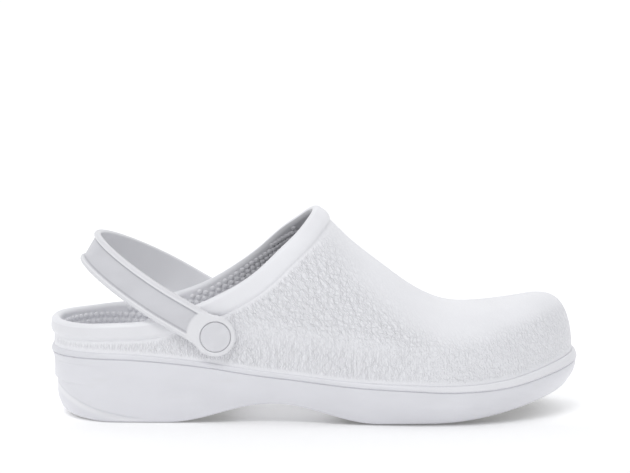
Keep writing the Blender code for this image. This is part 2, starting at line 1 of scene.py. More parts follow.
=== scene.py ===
"""Dresses the clog: smooth moulded foam, leather grain, footbed nubs, bevelled tread, studio.

Metres. Inside the form functions x runs from the back of the heel and y from its middle,
and place() moves finished points to the frame of the CAD model.
"""

import math

import bmesh
import bpy
import numpy as np
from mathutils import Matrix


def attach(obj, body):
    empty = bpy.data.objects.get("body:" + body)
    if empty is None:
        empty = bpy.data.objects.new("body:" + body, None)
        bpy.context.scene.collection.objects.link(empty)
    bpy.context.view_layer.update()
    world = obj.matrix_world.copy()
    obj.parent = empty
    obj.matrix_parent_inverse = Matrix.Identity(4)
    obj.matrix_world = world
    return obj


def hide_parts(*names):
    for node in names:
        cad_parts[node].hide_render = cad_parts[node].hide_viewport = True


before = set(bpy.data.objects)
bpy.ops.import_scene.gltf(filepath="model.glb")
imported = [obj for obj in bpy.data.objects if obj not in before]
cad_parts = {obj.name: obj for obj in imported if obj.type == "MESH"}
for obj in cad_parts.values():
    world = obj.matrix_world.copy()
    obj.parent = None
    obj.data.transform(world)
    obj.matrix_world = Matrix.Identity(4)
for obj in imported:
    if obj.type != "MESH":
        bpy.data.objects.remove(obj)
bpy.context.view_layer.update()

# Overall form of the shoe, as in the CAD model
LENGTH = 0.288
BALL_WIDTH = 0.105
HEEL_HEIGHT = 0.0365
INSTEP_RISE = 0.0855
HEEL_ARC = 0.038
TOE_ARC = 0.070
THROAT = 0.1455
TOE_SPRING = 0.0175
SPRING_RUN = 0.080
SPRING_CURVE = 1.7
ARCH_RISE = 0.0106
ARCH = (0.222, 0.622)
HEEL_BEVEL = 0.0028
BEVEL_RUN = 0.030
WELT = 0.003
BEAD = 0.005
CUP_FILLET = 0.003
RIM_UNDER = 0.003
TRAY = 0.003
WALL = 0.0033
RIM_BAND = 0.0083
RIM_PROUD = 0.002
RIM_ROUND = 0.0026
CROWN = 2.1
FRONT_SQUARE = 7.5
INSOLE = 0.005
INSOLE_LIP = 0.0012
WEB = 0.0014
LUG_PITCH = 0.006
LUG_GAP = 0.0011
HEEL_PAD = (0.045, 0.348)
FORE_PAD = (0.542, 0.931)
PAD_LANES = 5
PAD_CLEAR = 0.0008
RIVET_AT = 0.0906
RIVET_HEIGHT = 0.0490
RIVET_INNER_AHEAD = 0.0029
RIVET_INNER_ABOVE = 0.0036
STRAP_REACH = 0.0814
STRAP_BACK = 0.052
STRAP_SQUARE = 1.7
STRAP_LIFT = math.radians(30.3)
STRAP_WIDTH = 0.0186
STRAP_THICK = 0.0032
STRAP_RIM = 0.0033
CHANNEL = 0.0010
CHANNEL_START = 0.0157
DISC_RADIUS = 0.0110
BUTTON_RADIUS = 0.0080
BUTTON_PROUD = 0.0012
SHANK_RADIUS = 0.0032
WASHER_RADIUS = 0.0068
WASHER_THICK = 0.0015
GAP = 0.0003
HEEL_ROUND = 2.2
TOE_ROUND = 2.35

# Finer forms that only the dressed part has. A pair is where something starts and ends
STATIONS = 360
RIM_TURN = 17
UPPER_LAP = 0.0006
BOSS_SOFT = 0.0012
WASHER_SOFT = 0.0010
NUB_PITCH = 0.0036
NUB_RADIUS = 0.0016
NUB_HEIGHT = 0.0009
NUB_SINK = 0.00002
NUB_START = 0.0022
FOOT_NUBS_END = 0.001
WALL_NUBS_END = 0.20
NUB_CLEAR = 0.0012
BED_PITCH = 0.0042
BED_ROW = 0.866
BED_NUBS = (0.010, 0.215)
BED_MARGIN = 0.011
LEDGE_IN = 0.0009
BEAD_LIFT = 0.0001
BEAD_FALL = 0.80
BEAD_BACK = (0.00012, 0.0005)
SIDE_UNDER = 0.0006
UNDER_ROUND = (0.0008, 0.0004)
LINE_DROP = 0.0007
LINE_PROFILE = ((0.0009, 0.0), (0.0011, 0.00015), (0.0010, 0.00035), (0.0007, 0.0005), (0.0006, LINE_DROP))
SEAT_BAND = 0.0044
SEAT_BAND_IN = 0.0011
SEAT_BAND_RUN = 0.034
BEVEL_SET = 0.0014
BEVEL_SOFT = 0.0005
BEVEL_FADE = (0.040, 0.056)
INSOLE_SOFT = 0.0004
INSOLE_DISH = 0.0095
LUG_BEVEL = 0.0004
LUG_TOP = 0.90
STRAP_SOFT = 0.0011
STRAP_CROWN = 0.00042
STRAP_LIP = 0.00018
STRAP_SET = 0.00025
ARM_START = 0.0185
ARM_SHAPE = (CHANNEL_START - 0.0020, CHANNEL_START + 0.0020)
CHANNEL_WALL = (STRAP_RIM - 0.0005, STRAP_RIM + 0.0001)
CHANNEL_END = (CHANNEL_START - 0.0006, CHANNEL_START + 0.0010)
LIP_RISE = (STRAP_RIM - 0.0014, STRAP_RIM - 0.0007)
LIP_FALL = (STRAP_RIM - 0.0007, STRAP_RIM)
DISC_RING = 0.0008
RING_RISE = (BUTTON_RADIUS + 0.0001, BUTTON_RADIUS + 0.0007)
RING_FALL = (BUTTON_RADIUS + 0.0010, DISC_RADIUS + 0.0010)
TURN_STEPS = 96
CAP_DOME = ((0.02, 0.0), (0.55, 0.00002), (0.85, 0.00008))
CAP_EDGE = 0.0001
CAP_SOFT = 0.00045
SHANK_TIP = (0.0004, 0.0002)
RING_SOFT = 0.0006
BORE_SOFT = 0.0003

# Where the upper's grain starts and ends: metres above the welt and below the rim band, how far
# ahead the upright wrinkles go, and how level the face is and how far ahead where it is calm
GRAIN_ABOVE_WELT = (0.0006, 0.0030)
GRAIN_BELOW_RIM = (-0.0030, -0.0004)
UPRIGHT_TOP = (0.012, 0.034)
UPRIGHT_AHEAD = (0.17, 0.23)
CALM_SLOPE = (0.42, 0.84)
CALM_AHEAD = (0.11, 0.15)
CALM = 0.85
WRINKLE = 0.00150

# Painted light and shade on the pieces: stretches of the shoe or strap, shares of a second colour, and
# lines by their place and half width
RIM_SHADE = (0.04, 0.11)
INSIDE_SHADE = (0.075, THROAT - 0.012)
LEDGE_LIGHT = (0.17, 0.23)
CREASE_FADE = (0.038, 0.058)
CREASE_LINE = 0.0006
SEAT_LINE = 0.0007
STRIP_STARTS = (0.0004, 0.0012)
STRIP_ENDS = (0.0022, 0.0050)
ARM_TONE = (CHANNEL_START - 0.0008, CHANNEL_START + 0.0008)
CHANNEL_TONE = (STRAP_RIM - 0.0004, STRAP_RIM)
# Painted light and highlights on the strap's disc, rims and inner face; painted shadow beside the channel.
DISC_RIM, DISC_GLINT = 0.75, 0.4
DISC_LINE = (0.0010, 0.0005)
LIP_LINE = (STRAP_RIM - 0.0009, 0.0006)
CHANNEL_LINE = (STRAP_RIM + 0.0003, 0.0006)
INNER_PAINTED_LIGHT = {"rim": 1.0, "glint": 0.55, "crease": 0.0}

# Studio
WORLD_LIGHT = 0.62
KEY_WATTS = 6.2
OVERHEAD_WATTS = 2.6
FLOOR_GLOW = 0.28
FAR_GLOW = 1.10
NEAR_GLOW = 0.40
NEAR_END = (-0.050, -0.010)
FAR_START = (0.25, 1.0)
LIGHTS_AIM = (0, 0, 0.05)
FLOOR_END = 2.5
FLOOR_BEND = 1.2
PHOTO_WIDTH = 630
PIXEL = 0.000548
EYE_AWAY = 2.0
EYE_RISE = math.radians(10.5)
EYE_AIM = 0.045
BELOW_AIM = 92.5


class Table:
    """A short table with named columns, whose first one holds shares of a span.

    read() follows a smooth curve through one of the columns.
    """

    def __init__(self, columns, rows, span=1.0):
        self.span = span
        self.columns = dict(zip(columns.split(), np.array(rows, dtype=float).T))
        self.at = next(iter(self.columns.values()))
        self.bends = {}

    def bend(self, column):
        """The curve's second derivative at each row, with free ends."""
        if column not in self.bends:
            run = np.diff(self.at)
            slope = np.diff(self.columns[column]) / run
            count = len(self.at)
            matrix = np.eye(count)
            right = np.zeros(count)
            for row in range(1, count - 1):
                matrix[row, row - 1:row + 2] = run[row - 1], 2 * (run[row - 1] + run[row]), run[row]
                right[row] = 6 * (slope[row] - slope[row - 1])
            self.bends[column] = np.linalg.solve(matrix, right)
        return self.bends[column]

    def read(self, column, place):
        at = np.clip(place / self.span, self.at[0], self.at[-1])
        low = np.clip(np.searchsorted(self.at, at, side="right") - 1, 0, len(self.at) - 2)
        run = self.at[low + 1] - self.at[low]
        far = (at - self.at[low]) / run
        near = 1 - far
        value, bend = self.columns[column], self.bend(column)
        arch = (near**3 - near) * bend[low] + (far**3 - far) * bend[low + 1]
        return near * value[low] + far * value[low + 1] + arch * run**2 / 6


# Shares of LENGTH, then half width and axis as shares of BALL_WIDTH, and the welt's share of WELT
PLAN = Table("at half axis welt", [
    (0.000, 0.350, 0.000, 0.53),
    (0.125, 0.358, 0.000, 0.51),
    (0.250, 0.358, 0.000, 0.48),
    (0.350, 0.362, -0.003, 0.45),
    (0.420, 0.375, -0.005, 0.44),
    (0.500, 0.405, -0.003, 0.46),
    (0.600, 0.459, 0.006, 0.52),
    (0.700, 0.500, 0.022, 0.64),
    (0.800, 0.496, 0.047, 0.78),
    (0.880, 0.464, 0.075, 0.90),
    (0.940, 0.444, 0.097, 0.97),
    (1.000, 0.434, 0.116, 1.00),
], LENGTH)

# Top of the welt and cup floor above the spring, as shares of HEEL_HEIGHT, and the bead's share of BEAD
EDGE = Table("at top floor bead", [
    (0.000, 1.060, 0.60, 0.62),
    (0.139, 1.055, 0.60, 0.55),
    (0.243, 0.986, 0.59, 0.53),
    (0.320, 0.907, 0.57, 0.52),
    (0.380, 0.833, 0.54, 0.52),
    (0.460, 0.765, 0.47, 0.52),
    (0.560, 0.687, 0.38, 0.53),
    (0.700, 0.640, 0.31, 0.56),
    (0.795, 0.583, 0.29, 0.64),
    (0.880, 0.509, 0.27, 0.78),
    (0.940, 0.492, 0.24, 0.92),
    (1.000, 0.456, 0.16, 1.00),
], LENGTH)

# How far the side of the sole draws in, as shares of HEEL_HEIGHT, and how late it does so
SIDE = Table("at draft late proud", [
    (0.00, 0.190, 8.0, 0.030),
    (0.08, 0.150, 6.5, 0.026),
    (0.20, 0.110, 3.6, 0.025),
    (0.42, 0.125, 1.3, 0.022),
    (0.58, 0.190, 2.0, 0.030),
    (0.75, 0.240, 2.7, 0.042),
    (0.88, 0.195, 2.6, 0.026),
    (1.00, 0.150, 2.4, 0.012),
], LENGTH)

# Rise of the upper's crown above the welt as a share of INSTEP_RISE, and how square its sides are
CROWN_LINE = Table("at rise square", [
    (0.000, 0.680, 3.00),
    (0.125, 0.700, 2.85),
    (0.235, 0.815, 2.70),
    (0.310, 0.945, 2.62),
    (0.400, 1.027, 2.42),
    (0.470, 1.030, 2.20),
    (0.513, 0.979, 2.14),
    (0.560, 0.843, 2.15),
    (0.620, 0.686, 2.25),
    (0.680, 0.537, 2.45),
    (0.730, 0.454, 2.65),
    (0.800, 0.416, 2.90),
    (0.865, 0.420, 3.05),
    (0.930, 0.432, 3.10),
    (1.000, 0.436, 3.10),
], LENGTH)

# Collar from the heel to the throat, in shares of THROAT: height on each side of the foot as a
# share of the crown's rise there, and the rim band's share of RIM_BAND
COLLAR = Table("at outer inner band", [
    (0.00, 0.225, 0.225, 0.77),
    (0.13, 0.220, 0.206, 0.79),
    (0.25, 0.235, 0.227, 0.82),
    (0.37, 0.256, 0.254, 0.88),
    (0.46, 0.308, 0.308, 0.94),
    (0.595, 0.393, 0.395, 0.98),
    (0.70, 0.485, 0.508, 1.00),
    (0.80, 0.610, 0.645, 1.00),
    (0.88, 0.742, 0.778, 1.00),
    (0.94, 0.850, 0.874, 1.00),
    (1.00, 1.000, 1.000, 1.00),
], THROAT)
SIDES = {-1: "outer", 1: "inner"}

# Which share of the collar's half loop lies above each share of the welt's half loop
PAIRING = Table("welt collar", [
    (0.00, 0.00),
    (0.12, 0.20),
    (0.25, 0.41),
    (0.42, 0.63),
    (0.60, 0.79),
    (0.80, 0.91),
    (1.00, 1.00),
])

# The crease on each side of the heel: metres from its back, and metres above the ground
HEEL_CREASE = Table("at height", [
    (0.000, 0.0215),
    (0.005, 0.0178),
    (0.012, 0.0137),
    (0.022, 0.0093),
    (0.034, 0.0058),
    (0.045, 0.0036),
    (0.056, 0.0022),
])


def step_up(value, start, end):
    """0 up to start, 1 from end on, and smooth between them."""
    share = np.clip((value - start) / (end - start), 0, 1)
    return share * share * (3 - 2 * share)


def half_width(x):
    return BALL_WIDTH * PLAN.read("half", x)


def axis(x):
    return BALL_WIDTH * PLAN.read("axis", x)


def flush(x):
    return 0 * x


def welt(x):
    return WELT * PLAN.read("welt", x)


def inside_wall(x):
    return welt(x) + WALL


def run_out(x, inset):
    """How far x lies into the round of the heel or toe, from 0 where it starts to 1 at the tip."""
    heel = (HEEL_ARC - x) / (HEEL_ARC - inset(0.0))
    toe = (x - LENGTH + TOE_ARC) / (TOE_ARC - inset(LENGTH))
    return np.clip(np.maximum(heel, toe), 0, None)


def roundness(x):
    return np.where(x < LENGTH / 2, HEEL_ROUND, TOE_ROUND)


def edge_y(x, side, inset):
    power = roundness(x)
    reach = np.clip(1 - run_out(x, inset) ** power, 0, 1) ** (1 / power)
    return axis(x) + side * (half_width(x) - inset(x)) * reach


def unit(vectors):
    return vectors / np.linalg.norm(vectors, axis=-1, keepdims=True)


def resample(points, shares):
    """Points at these shares of the way along a line of points."""
    steps = np.linalg.norm(np.diff(points, axis=0), axis=1)
    along = np.concatenate([[0], np.cumsum(steps)])
    return np.stack([np.interp(shares, along / along[-1], column) for column in points.T], axis=1)


def closed_loop(halves):
    """Joins an outer and an inner half, both from heel to toe, into one loop of stations."""
    outer, inner = halves
    return np.concatenate([outer, inner[-2:0:-1]])


def loop(inset, stations=STATIONS):
    """The outline drawn in by inset(x), as evenly spaced points from the heel along the outer side."""
    sweep = (1 - np.cos(np.linspace(0, math.pi, 1441))) / 2
    x = inset(0.0) + (LENGTH - inset(LENGTH) - inset(0.0)) * sweep
    shares = np.linspace(0, 1, stations // 2 + 1)
    halves = [resample(np.stack([x, edge_y(x, side, inset)], axis=1), shares) for side in (-1, 1)]
    return closed_loop(halves)


def spring(x):
    return TOE_SPRING * (np.clip(x - LENGTH + SPRING_RUN, 0, None) / SPRING_RUN) ** SPRING_CURVE


def tread_line(x):
    arch_share = np.clip((x / LENGTH - ARCH[0]) / (ARCH[1] - ARCH[0]), 0, 1)
    bevel_share = np.clip(1 - x / BEVEL_RUN, 0, 1)
    return spring(x) + ARCH_RISE * np.sin(math.pi * arch_share) ** 2 + HEEL_BEVEL * bevel_share**1.5


def under_line(x):
    return tread_line(x) + HEEL_HEIGHT * SIDE.read("proud", x)


def tray_line(x):
    return under_line(x) + TRAY


def welt_top(x):
    return spring(x) + HEEL_HEIGHT * EDGE.read("top", x)


def bead_height(x):
    return BEAD * EDGE.read("bead", x)


def cup_floor(x):
    return spring(x) + HEEL_HEIGHT * EDGE.read("floor", x)


def crown_rise(x):
    return INSTEP_RISE * CROWN_LINE.read("rise", x)


def share_out(x, rise):
    """How far out the section reaches at this share of the crown's rise."""
    return np.clip(1 - rise**CROWN, 0, 1) ** (1 / CROWN_LINE.read("square", x))


def gauge(x, y):
    """0 on the axis of the last, 1 on the upper's foot, and the power of its section there."""
    power = roundness(x)
    ahead = run_out(x, welt) ** power
    beside = (np.abs(y - axis(x)) / (half_width(x) - welt(x))) ** power
    total = np.maximum(ahead + beside, 1e-12)
    side_square = CROWN_LINE.read("square", x)
    front = np.where(x > LENGTH / 2, ahead / total, 0)
    return total ** (1 / power), side_square + (FRONT_SQUARE - side_square) * front


def crown(x, y):
    share, square = gauge(x, y)
    return welt_top(x) + crown_rise(x) * np.clip(1 - share**square, 0, 1) ** (1 / CROWN)


def outward(points):
    """Unit normals of the upper's outer face, from the slope of the function that is 0 on it."""
    step = 1e-5

    def level(p):
        share, square = gauge(p[..., 0], p[..., 1])
        up = np.clip(p[..., 2] - welt_top(p[..., 0]), 0, None) / crown_rise(p[..., 0])
        return share**square + up**CROWN

    slopes = [level(points + step * unit) - level(points - step * unit) for unit in np.eye(3)]
    return unit(np.stack(slopes, axis=-1))


def collar_half(side):
    """One half of the collar line on the upper's outer face, from the heel to the throat."""

    def share_at(x):
        return share_out(x, COLLAR.read(SIDES[side], x))

    foot = welt(0.0)
    start = foot
    for _ in range(8):
        start = HEEL_ARC - share_at(start) * (HEEL_ARC - foot)
    sweep = (1 - np.cos(np.linspace(0, math.pi, 1201))) / 2
    x = start + (THROAT - start) * sweep
    ahead = run_out(x, welt) ** HEEL_ROUND
    reach = np.clip(share_at(x) ** HEEL_ROUND - ahead, 0, 1) ** (1 / HEEL_ROUND)
    y = axis(x) + side * (half_width(x) - welt(x)) * reach
    return np.stack([x, y, crown(x, y)], axis=1)


def collar_loop():
    shares = PAIRING.read("collar", np.linspace(0, 1, STATIONS // 2 + 1))
    return closed_loop([resample(collar_half(side), shares) for side in (-1, 1)])


class Shell:
    """The upper's outer face as one path for each station, from the welt up to the collar."""

    def __init__(self):
        foot, collar = loop(welt), collar_loop()
        climb = np.linspace(0, 1, 500)[:, None, None] ** 2.5
        flat = foot + (collar[:, :2] - foot) * climb
        self.path = np.concatenate([flat, crown(flat[..., 0], flat[..., 1])[..., None]], axis=2)
        steps = np.linalg.norm(np.diff(self.path, axis=0), axis=2)
        self.along = np.concatenate([np.zeros((1, STATIONS)), np.cumsum(steps, axis=0)])
        tangent = unit(np.roll(collar, -1, axis=0) - np.roll(collar, 1, axis=0))
        self.collar = collar
        self.normal = outward(collar)
        lip = unit(np.cross(self.normal, tangent))
        square_on = np.sum(lip * unit(self.path[-1] - self.path[-8]), axis=1)
        self.lip = lip * np.sign(square_on)[:, None]
        share = COLLAR.read("band", collar[:, 0])
        self.band = RIM_BAND * share / np.clip(np.abs(square_on), 0.5, 1)

    def at(self, distances):
        """One point on each station's path, this far up from the welt."""
        return np.array([[np.interp(distances[j], self.along[:, j], self.path[:, j, k]) for k in range(3)]
                         for j in range(STATIONS)])


def ring_faces(first, second, count):
    following = [(i + 1) % count for i in range(count)]
    return [(first + i, first + following[i], second + following[i], second + i) for i in range(count)]


def ladder_faces(first, count):
    """Closes a loop of stations with rungs from its outer to its inner side."""
    faces = [(first, first + 1, first + count - 1)]
    for i in range(1, count // 2 - 1):
        faces.append((first + i, first + i + 1, first + count - i - 1, first + count - i))
    half = count // 2
    faces.append((first + half - 1, first + half, first + half + 1))
    return faces


def plan_shift():
    across = loop(flush, 720)[:, 1]
    return -(across.min() + across.max()) / 2


def place(points):
    return np.asarray(points) + (-LENGTH / 2, PLAN_SHIFT, 0)


PLAN_SHIFT = plan_shift()


def in_scene(name, data):
    """A new object in the scene that holds this data."""
    thing = bpy.data.objects.new(name, data)
    bpy.context.scene.collection.objects.link(thing)
    return thing


def new_mesh(name, points, faces, attributes):
    """A mesh from points, moved to the CAD model's frame. An attribute is its type, domain and values."""
    mesh = bpy.data.meshes.new(name)
    mesh.from_pydata([tuple(p) for p in place(points)], [], faces)
    for attribute, (kind, domain, values) in attributes.items():
        field = "vector" if kind == "FLOAT_VECTOR" else "value"
        mesh.attributes.new(attribute, kind, domain).data.foreach_set(field, np.ravel(values))
    return mesh


def face_out(mesh):
    shape = bmesh.new()
    shape.from_mesh(mesh)
    bmesh.ops.recalc_face_normals(shape, faces=shape.faces)
    shape.to_mesh(mesh)
    shape.free()


class Rows:
    """Equal loops of points that a piece is skinned over, with a number on each point for each mark."""

    def __init__(self, *marks):
        self.loops = []
        self.marks = {mark: [] for mark in marks}

    def add(self, points, **values):
        self.loops.append(points)
        for mark, kept in self.marks.items():
            kept.append(np.broadcast_to(values.get(mark, 0.0), len(points)))

    def outline(self, inset, height, marked=None):
        """Adds the shoe's outline, drawn in by inset(x), at height(x), marked by marked(points)."""
        ring = loop(inset)
        points = np.column_stack([ring, height(ring[:, 0])])
        self.add(points, **(marked(points) if marked else {}))

    def skin(self, name, material, ends):
        """The smooth piece over the rows. Its ends are joined, ladder or flat."""
        count = len(self.loops[0])
        last = (len(self.loops) - 1) * count
        faces = []
        for first in range(0, last, count):
            faces += ring_faces(first, first + count, count)
        if ends == "joined":
            faces += ring_faces(last, 0, count)
        elif ends == "ladder":
            faces += ladder_faces(0, count) + ladder_faces(last, count)
        else:
            faces += [tuple(range(count)), tuple(range(last, last + count))]
        marks = {mark: ("FLOAT", "POINT", np.concatenate(kept)) for mark, kept in self.marks.items()}
        mesh = new_mesh(name, np.concatenate(self.loops), faces, marks)
        face_out(mesh)
        mesh.shade_smooth()
        mesh.materials.append(material)
        return in_scene(name, mesh)


def own(piece, slot, *nodes):
    """The piece rides on the shoe and stands for these CAD nodes. The slot is not used."""
    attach(piece, "root")
    for node in nodes:
        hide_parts(node)


class Signal:
    """A shader socket that can be used in Python expressions. Each operator adds a Math node."""

    def __init__(self, finish, socket):
        self.finish = finish
        self.socket = socket

    def math(self, operation, *values):
        return self.finish.node("Math", "Value", {"operation": operation}, dict(enumerate(values)))

    def __add__(self, other):
        return self.math("ADD", self, other)

    def __rsub__(self, other):
        return self.math("SUBTRACT", other, self)

    def __mul__(self, other):
        return self.math("MULTIPLY", self, other)

    __radd__ = __add__

    def ramp(self, start, end):
        """0 up to start, 1 from end on, and smooth between them."""
        return self.finish.node("MapRange", "Result", {"interpolation_type": "SMOOTHSTEP"},
                                {"Value": self, "From Min": start, "From Max": end})


class Finish:
    """A moulded material. node() adds any node that an expression doesn't."""

    def __init__(self, name, constants):
        self.material = bpy.data.materials.new(name)
        self.material.use_nodes = True
        self.tree = self.material.node_tree
        self.shader = self.tree.nodes["Principled BSDF"]
        for socket, value in constants.items():
            self.shader.inputs[socket].default_value = value
        self.where = self.node("TexCoord", "Object")

    def node(self, kind, output, settings=None, inputs=None):
        node = self.tree.nodes.new("ShaderNode" + kind)
        for setting, value in (settings or {}).items():
            setattr(node, setting, value)
        for socket, value in (inputs or {}).items():
            self.feed(node.inputs[socket], value)
        return Signal(self, node.outputs[output])

    def feed(self, socket, value):
        if isinstance(value, Signal):
            self.tree.links.new(value.socket, socket)
        else:
            socket.default_value = value

    def mark(self, name):
        return self.node("Attribute", "Fac", {"attribute_name": name})

    def scaled(self, stretch):
        """Object coordinates stretched along the axes."""
        return self.node("VectorMath", "Vector", {"operation": "MULTIPLY"}, {0: self.where, 1: stretch})

    def wrinkles(self, period, course, scale, wavering):
        """Ridges from 0 to 1 across a course, one in each period, bent about by a noise."""
        along = self.node("VectorMath", "Value", {"operation": "DOT_PRODUCT"}, {0: self.where, 1: course})
        phase = along * (2 * math.pi / period) + self.noise(scale, 1.0) * wavering
        return phase.math("SINE", phase) * 0.5 + 0.5

    def noise(self, scale, detail=2.0, where=None):
        return self.node("TexNoise", "Fac", None,
                         {"Vector": where or self.where, "Scale": scale, "Detail": detail})

    def blend(self, first, second, factor):
        """A colour between two colours."""
        return self.node("Mix", 2, {"data_type": "RGBA"}, {0: factor, 6: first, 7: second})

    def bump(self, height, distance, normal=None):
        inputs = {"Height": height, "Distance": distance, "Strength": 1.0}
        if normal:
            inputs["Normal"] = normal
        return self.node("Bump", "Normal", None, inputs)

    def set(self, **values):
        for socket, value in values.items():
            self.feed(self.shader.inputs[socket.replace("_", " ")], value)
        return self.material


def white(level, blue=1.03):
    return (level, level, level * blue, 1.0)


def upper_foam():
    """White moulded foam with a leather grain where the mark skin is 1, and painted shade."""
    foam = Finish("upper_foam", {"Specular IOR Level": 0.45})
    skin, low, deep = foam.mark("skin"), foam.mark("low"), foam.mark("deep")
    pebbled = foam.wrinkles(WRINKLE, (0.80, 0.10, 0.55), 430.0, 15.0)
    fluted = foam.wrinkles(WRINKLE, (1.0, 0.1, 0.0), 400.0, 12.0)
    ridges = pebbled * (1 - low) + fluted * low
    ridges = ridges * (0.70 + foam.noise(500.0, 1.0) * 0.6)
    smudge = foam.noise(35.0, 3.0)
    valley = (1 - ridges) * skin
    colour = foam.blend(white(0.875), white(0.85), smudge.ramp(0.35, 0.7))
    # Painted shade in the grain's valleys.
    colour = foam.blend(colour, white(0.66, 1.05), valley * 0.36)
    # Painted shade: darker inside towards the throat, and a little on the rim band at the heel.
    colour = foam.blend(colour, white(0.49, 1.04), deep)
    fine = foam.bump(foam.noise(3800.0, 1.0), 0.00002)
    return foam.set(Base_Color=colour, Roughness=0.34 + valley * 0.16 + smudge * 0.08,
                    Normal=foam.bump(ridges * skin, 0.00034, fine))


def sole_foam():
    """White satin foam with the soft orange peel of a steel mould."""
    foam = Finish("sole_foam", {"Specular IOR Level": 0.45})
    smudge = foam.noise(28.0, 4.0, foam.scaled((1.0, 1.0, 2.2)))
    scuff = foam.noise(170.0, 3.0, foam.scaled((0.35, 1.0, 1.6))).ramp(0.56, 0.74)
    # The base is darker than the upper's foam: painted shade of the sole's sides.
    colour = foam.blend(white(0.78, 1.045), white(0.745, 1.045), smudge.ramp(0.35, 0.7))
    colour = foam.blend(colour, white(0.73, 1.0), scuff * 0.18)
    # Painted shadow lines along the heel's crease and the seat band's edge.
    colour = foam.blend(colour, white(0.60, 1.05), foam.mark("line") * 0.6)
    # Painted highlight on the ledge round the toe and beside the heel's crease.
    colour = foam.blend(colour, white(0.88, 1.02), foam.mark("painted_highlight") * 0.7)
    peel = foam.noise(900.0, 2.0) + foam.noise(2600.0, 1.0) * 0.4
    return foam.set(Base_Color=colour, Roughness=0.34 + smudge * 0.08 + scuff * 0.10,
                    Normal=foam.bump(peel, 0.000035))


def footbed_foam():
    """Soft footbed foam, a little matter and greyer than the shell."""
    foam = Finish("footbed_foam", {"Specular IOR Level": 0.35})
    cloud = foam.noise(60.0, 3.0)
    pores = foam.noise(3200.0, 2.0)
    colour = foam.blend(white(0.84, 1.04), white(0.79, 1.04), cloud.ramp(0.35, 0.7))
    return foam.set(Base_Color=colour, Roughness=0.52 + cloud * 0.1, Normal=foam.bump(pores, 0.00005))


def tread_rubber():
    """Dark grip rubber, paler where it has been rubbed."""
    rubber = Finish("tread_rubber", {"Specular IOR Level": 0.4})
    cloud = rubber.noise(55.0, 4.0)
    grit = rubber.noise(1900.0, 3.0)
    worn = cloud.ramp(0.5, 0.72)
    colour = rubber.blend((0.085, 0.080, 0.072, 1), (0.160, 0.152, 0.140, 1), worn)
    colour = rubber.blend(colour, (0.25, 0.24, 0.22, 1), grit.ramp(0.6, 0.75) * 0.35)
    return rubber.set(Base_Color=colour, Roughness=0.62 + worn * 0.12, Normal=rubber.bump(grit, 0.00009))


def strap_foam():
    """Denser foam of the strap: smooth, with a faint flow of the mould along it."""
    foam = Finish("strap_foam", {"Specular IOR Level": 0.5})
    rim, glint, crease = foam.mark("rim"), foam.mark("glint"), foam.mark("crease")
    flow = foam.noise(90.0, 3.0, foam.scaled((0.4, 1.0, 1.4)))
    peel = foam.noise(1300.0, 2.0)
    colour = foam.blend(white(0.665, 1.045), white(0.635, 1.045), flow.ramp(0.35, 0.7))
    # Painted light: the rims, the disc and the inner face are lighter.
    colour = foam.blend(colour, white(0.76, 1.03), rim)
    # Painted highlights along the rims' lips and the disc's edge.
    colour = foam.blend(colour, white(0.90, 1.02), glint)
    # Painted shadow lines in the creases beside the channel.
    colour = foam.blend(colour, white(0.50, 1.06), crease)
    return foam.set(Base_Color=colour, Roughness=0.30 + flow * 0.1, Normal=foam.bump(peel, 0.000025))


def button_plastic():
    """Hard plastic of the rivets, with a fine spark-eroded face."""
    plastic = Finish("button_plastic", {"Specular IOR Level": 0.5})
    spark = plastic.noise(4200.0, 2.0)
    cloud = plastic.noise(140.0, 2.0)
    colour = plastic.blend(white(0.74, 1.04), white(0.715, 1.04), cloud.ramp(0.4, 0.6))
    return plastic.set(Base_Color=colour, Roughness=0.38 + spark * 0.1,
                       Normal=plastic.bump(spark, 0.00003))


class Rivet:
    """Where one end of the strap is fastened, and the faces stacked along its shank."""

    def __init__(self, name, side):
        self.name = name
        self.side = side
        inner = side > 0
        self.x = RIVET_AT + (RIVET_INNER_AHEAD if inner else 0)
        self.z = RIVET_HEIGHT + (RIVET_INNER_ABOVE if inner else 0)
        self.boss = self.clear_of_rim() + GAP
        self.strap_in = self.boss + GAP
        self.strap_out = self.strap_in + STRAP_THICK
        self.inside = abs(self.face_at(self.x, self.z + WASHER_RADIUS)) - WALL - 2 * GAP

    def face_at(self, x, z):
        rise = np.clip((z - welt_top(x)) / crown_rise(x), 0, 1)
        return axis(x) + self.side * (half_width(x) - welt(x)) * share_out(x, rise)

    def clear_of_rim(self):
        back = np.linspace(0, STRAP_REACH - STRAP_BACK, 30)
        x = self.x - back * math.cos(STRAP_LIFT)
        rise = COLLAR.read(SIDES[self.side], x)
        z = welt_top(x) + crown_rise(x) * rise - RIM_BAND * COLLAR.read("band", x)
        return np.max(np.abs(self.face_at(x, z))) + RIM_PROUD

    def y(self, distance):
        return self.side * distance

    def flattened(self, points, distance, radius, soft):
        """Moves points near the rivet's line towards a flat face this far from the middle."""
        moved = np.array(points)
        away = np.hypot(moved[:, 0] - self.x, moved[:, 2] - self.z)
        near = (1 - step_up(away, radius, radius + soft)) * (moved[:, 1] * self.side > 0)
        moved[:, 1] += near * (self.y(distance) - moved[:, 1])
        return moved


def inside_shade(points):
    """How much painted shade darkens the inside here: none in the heel, full under the throat."""
    return step_up(points[:, 0], *INSIDE_SHADE)


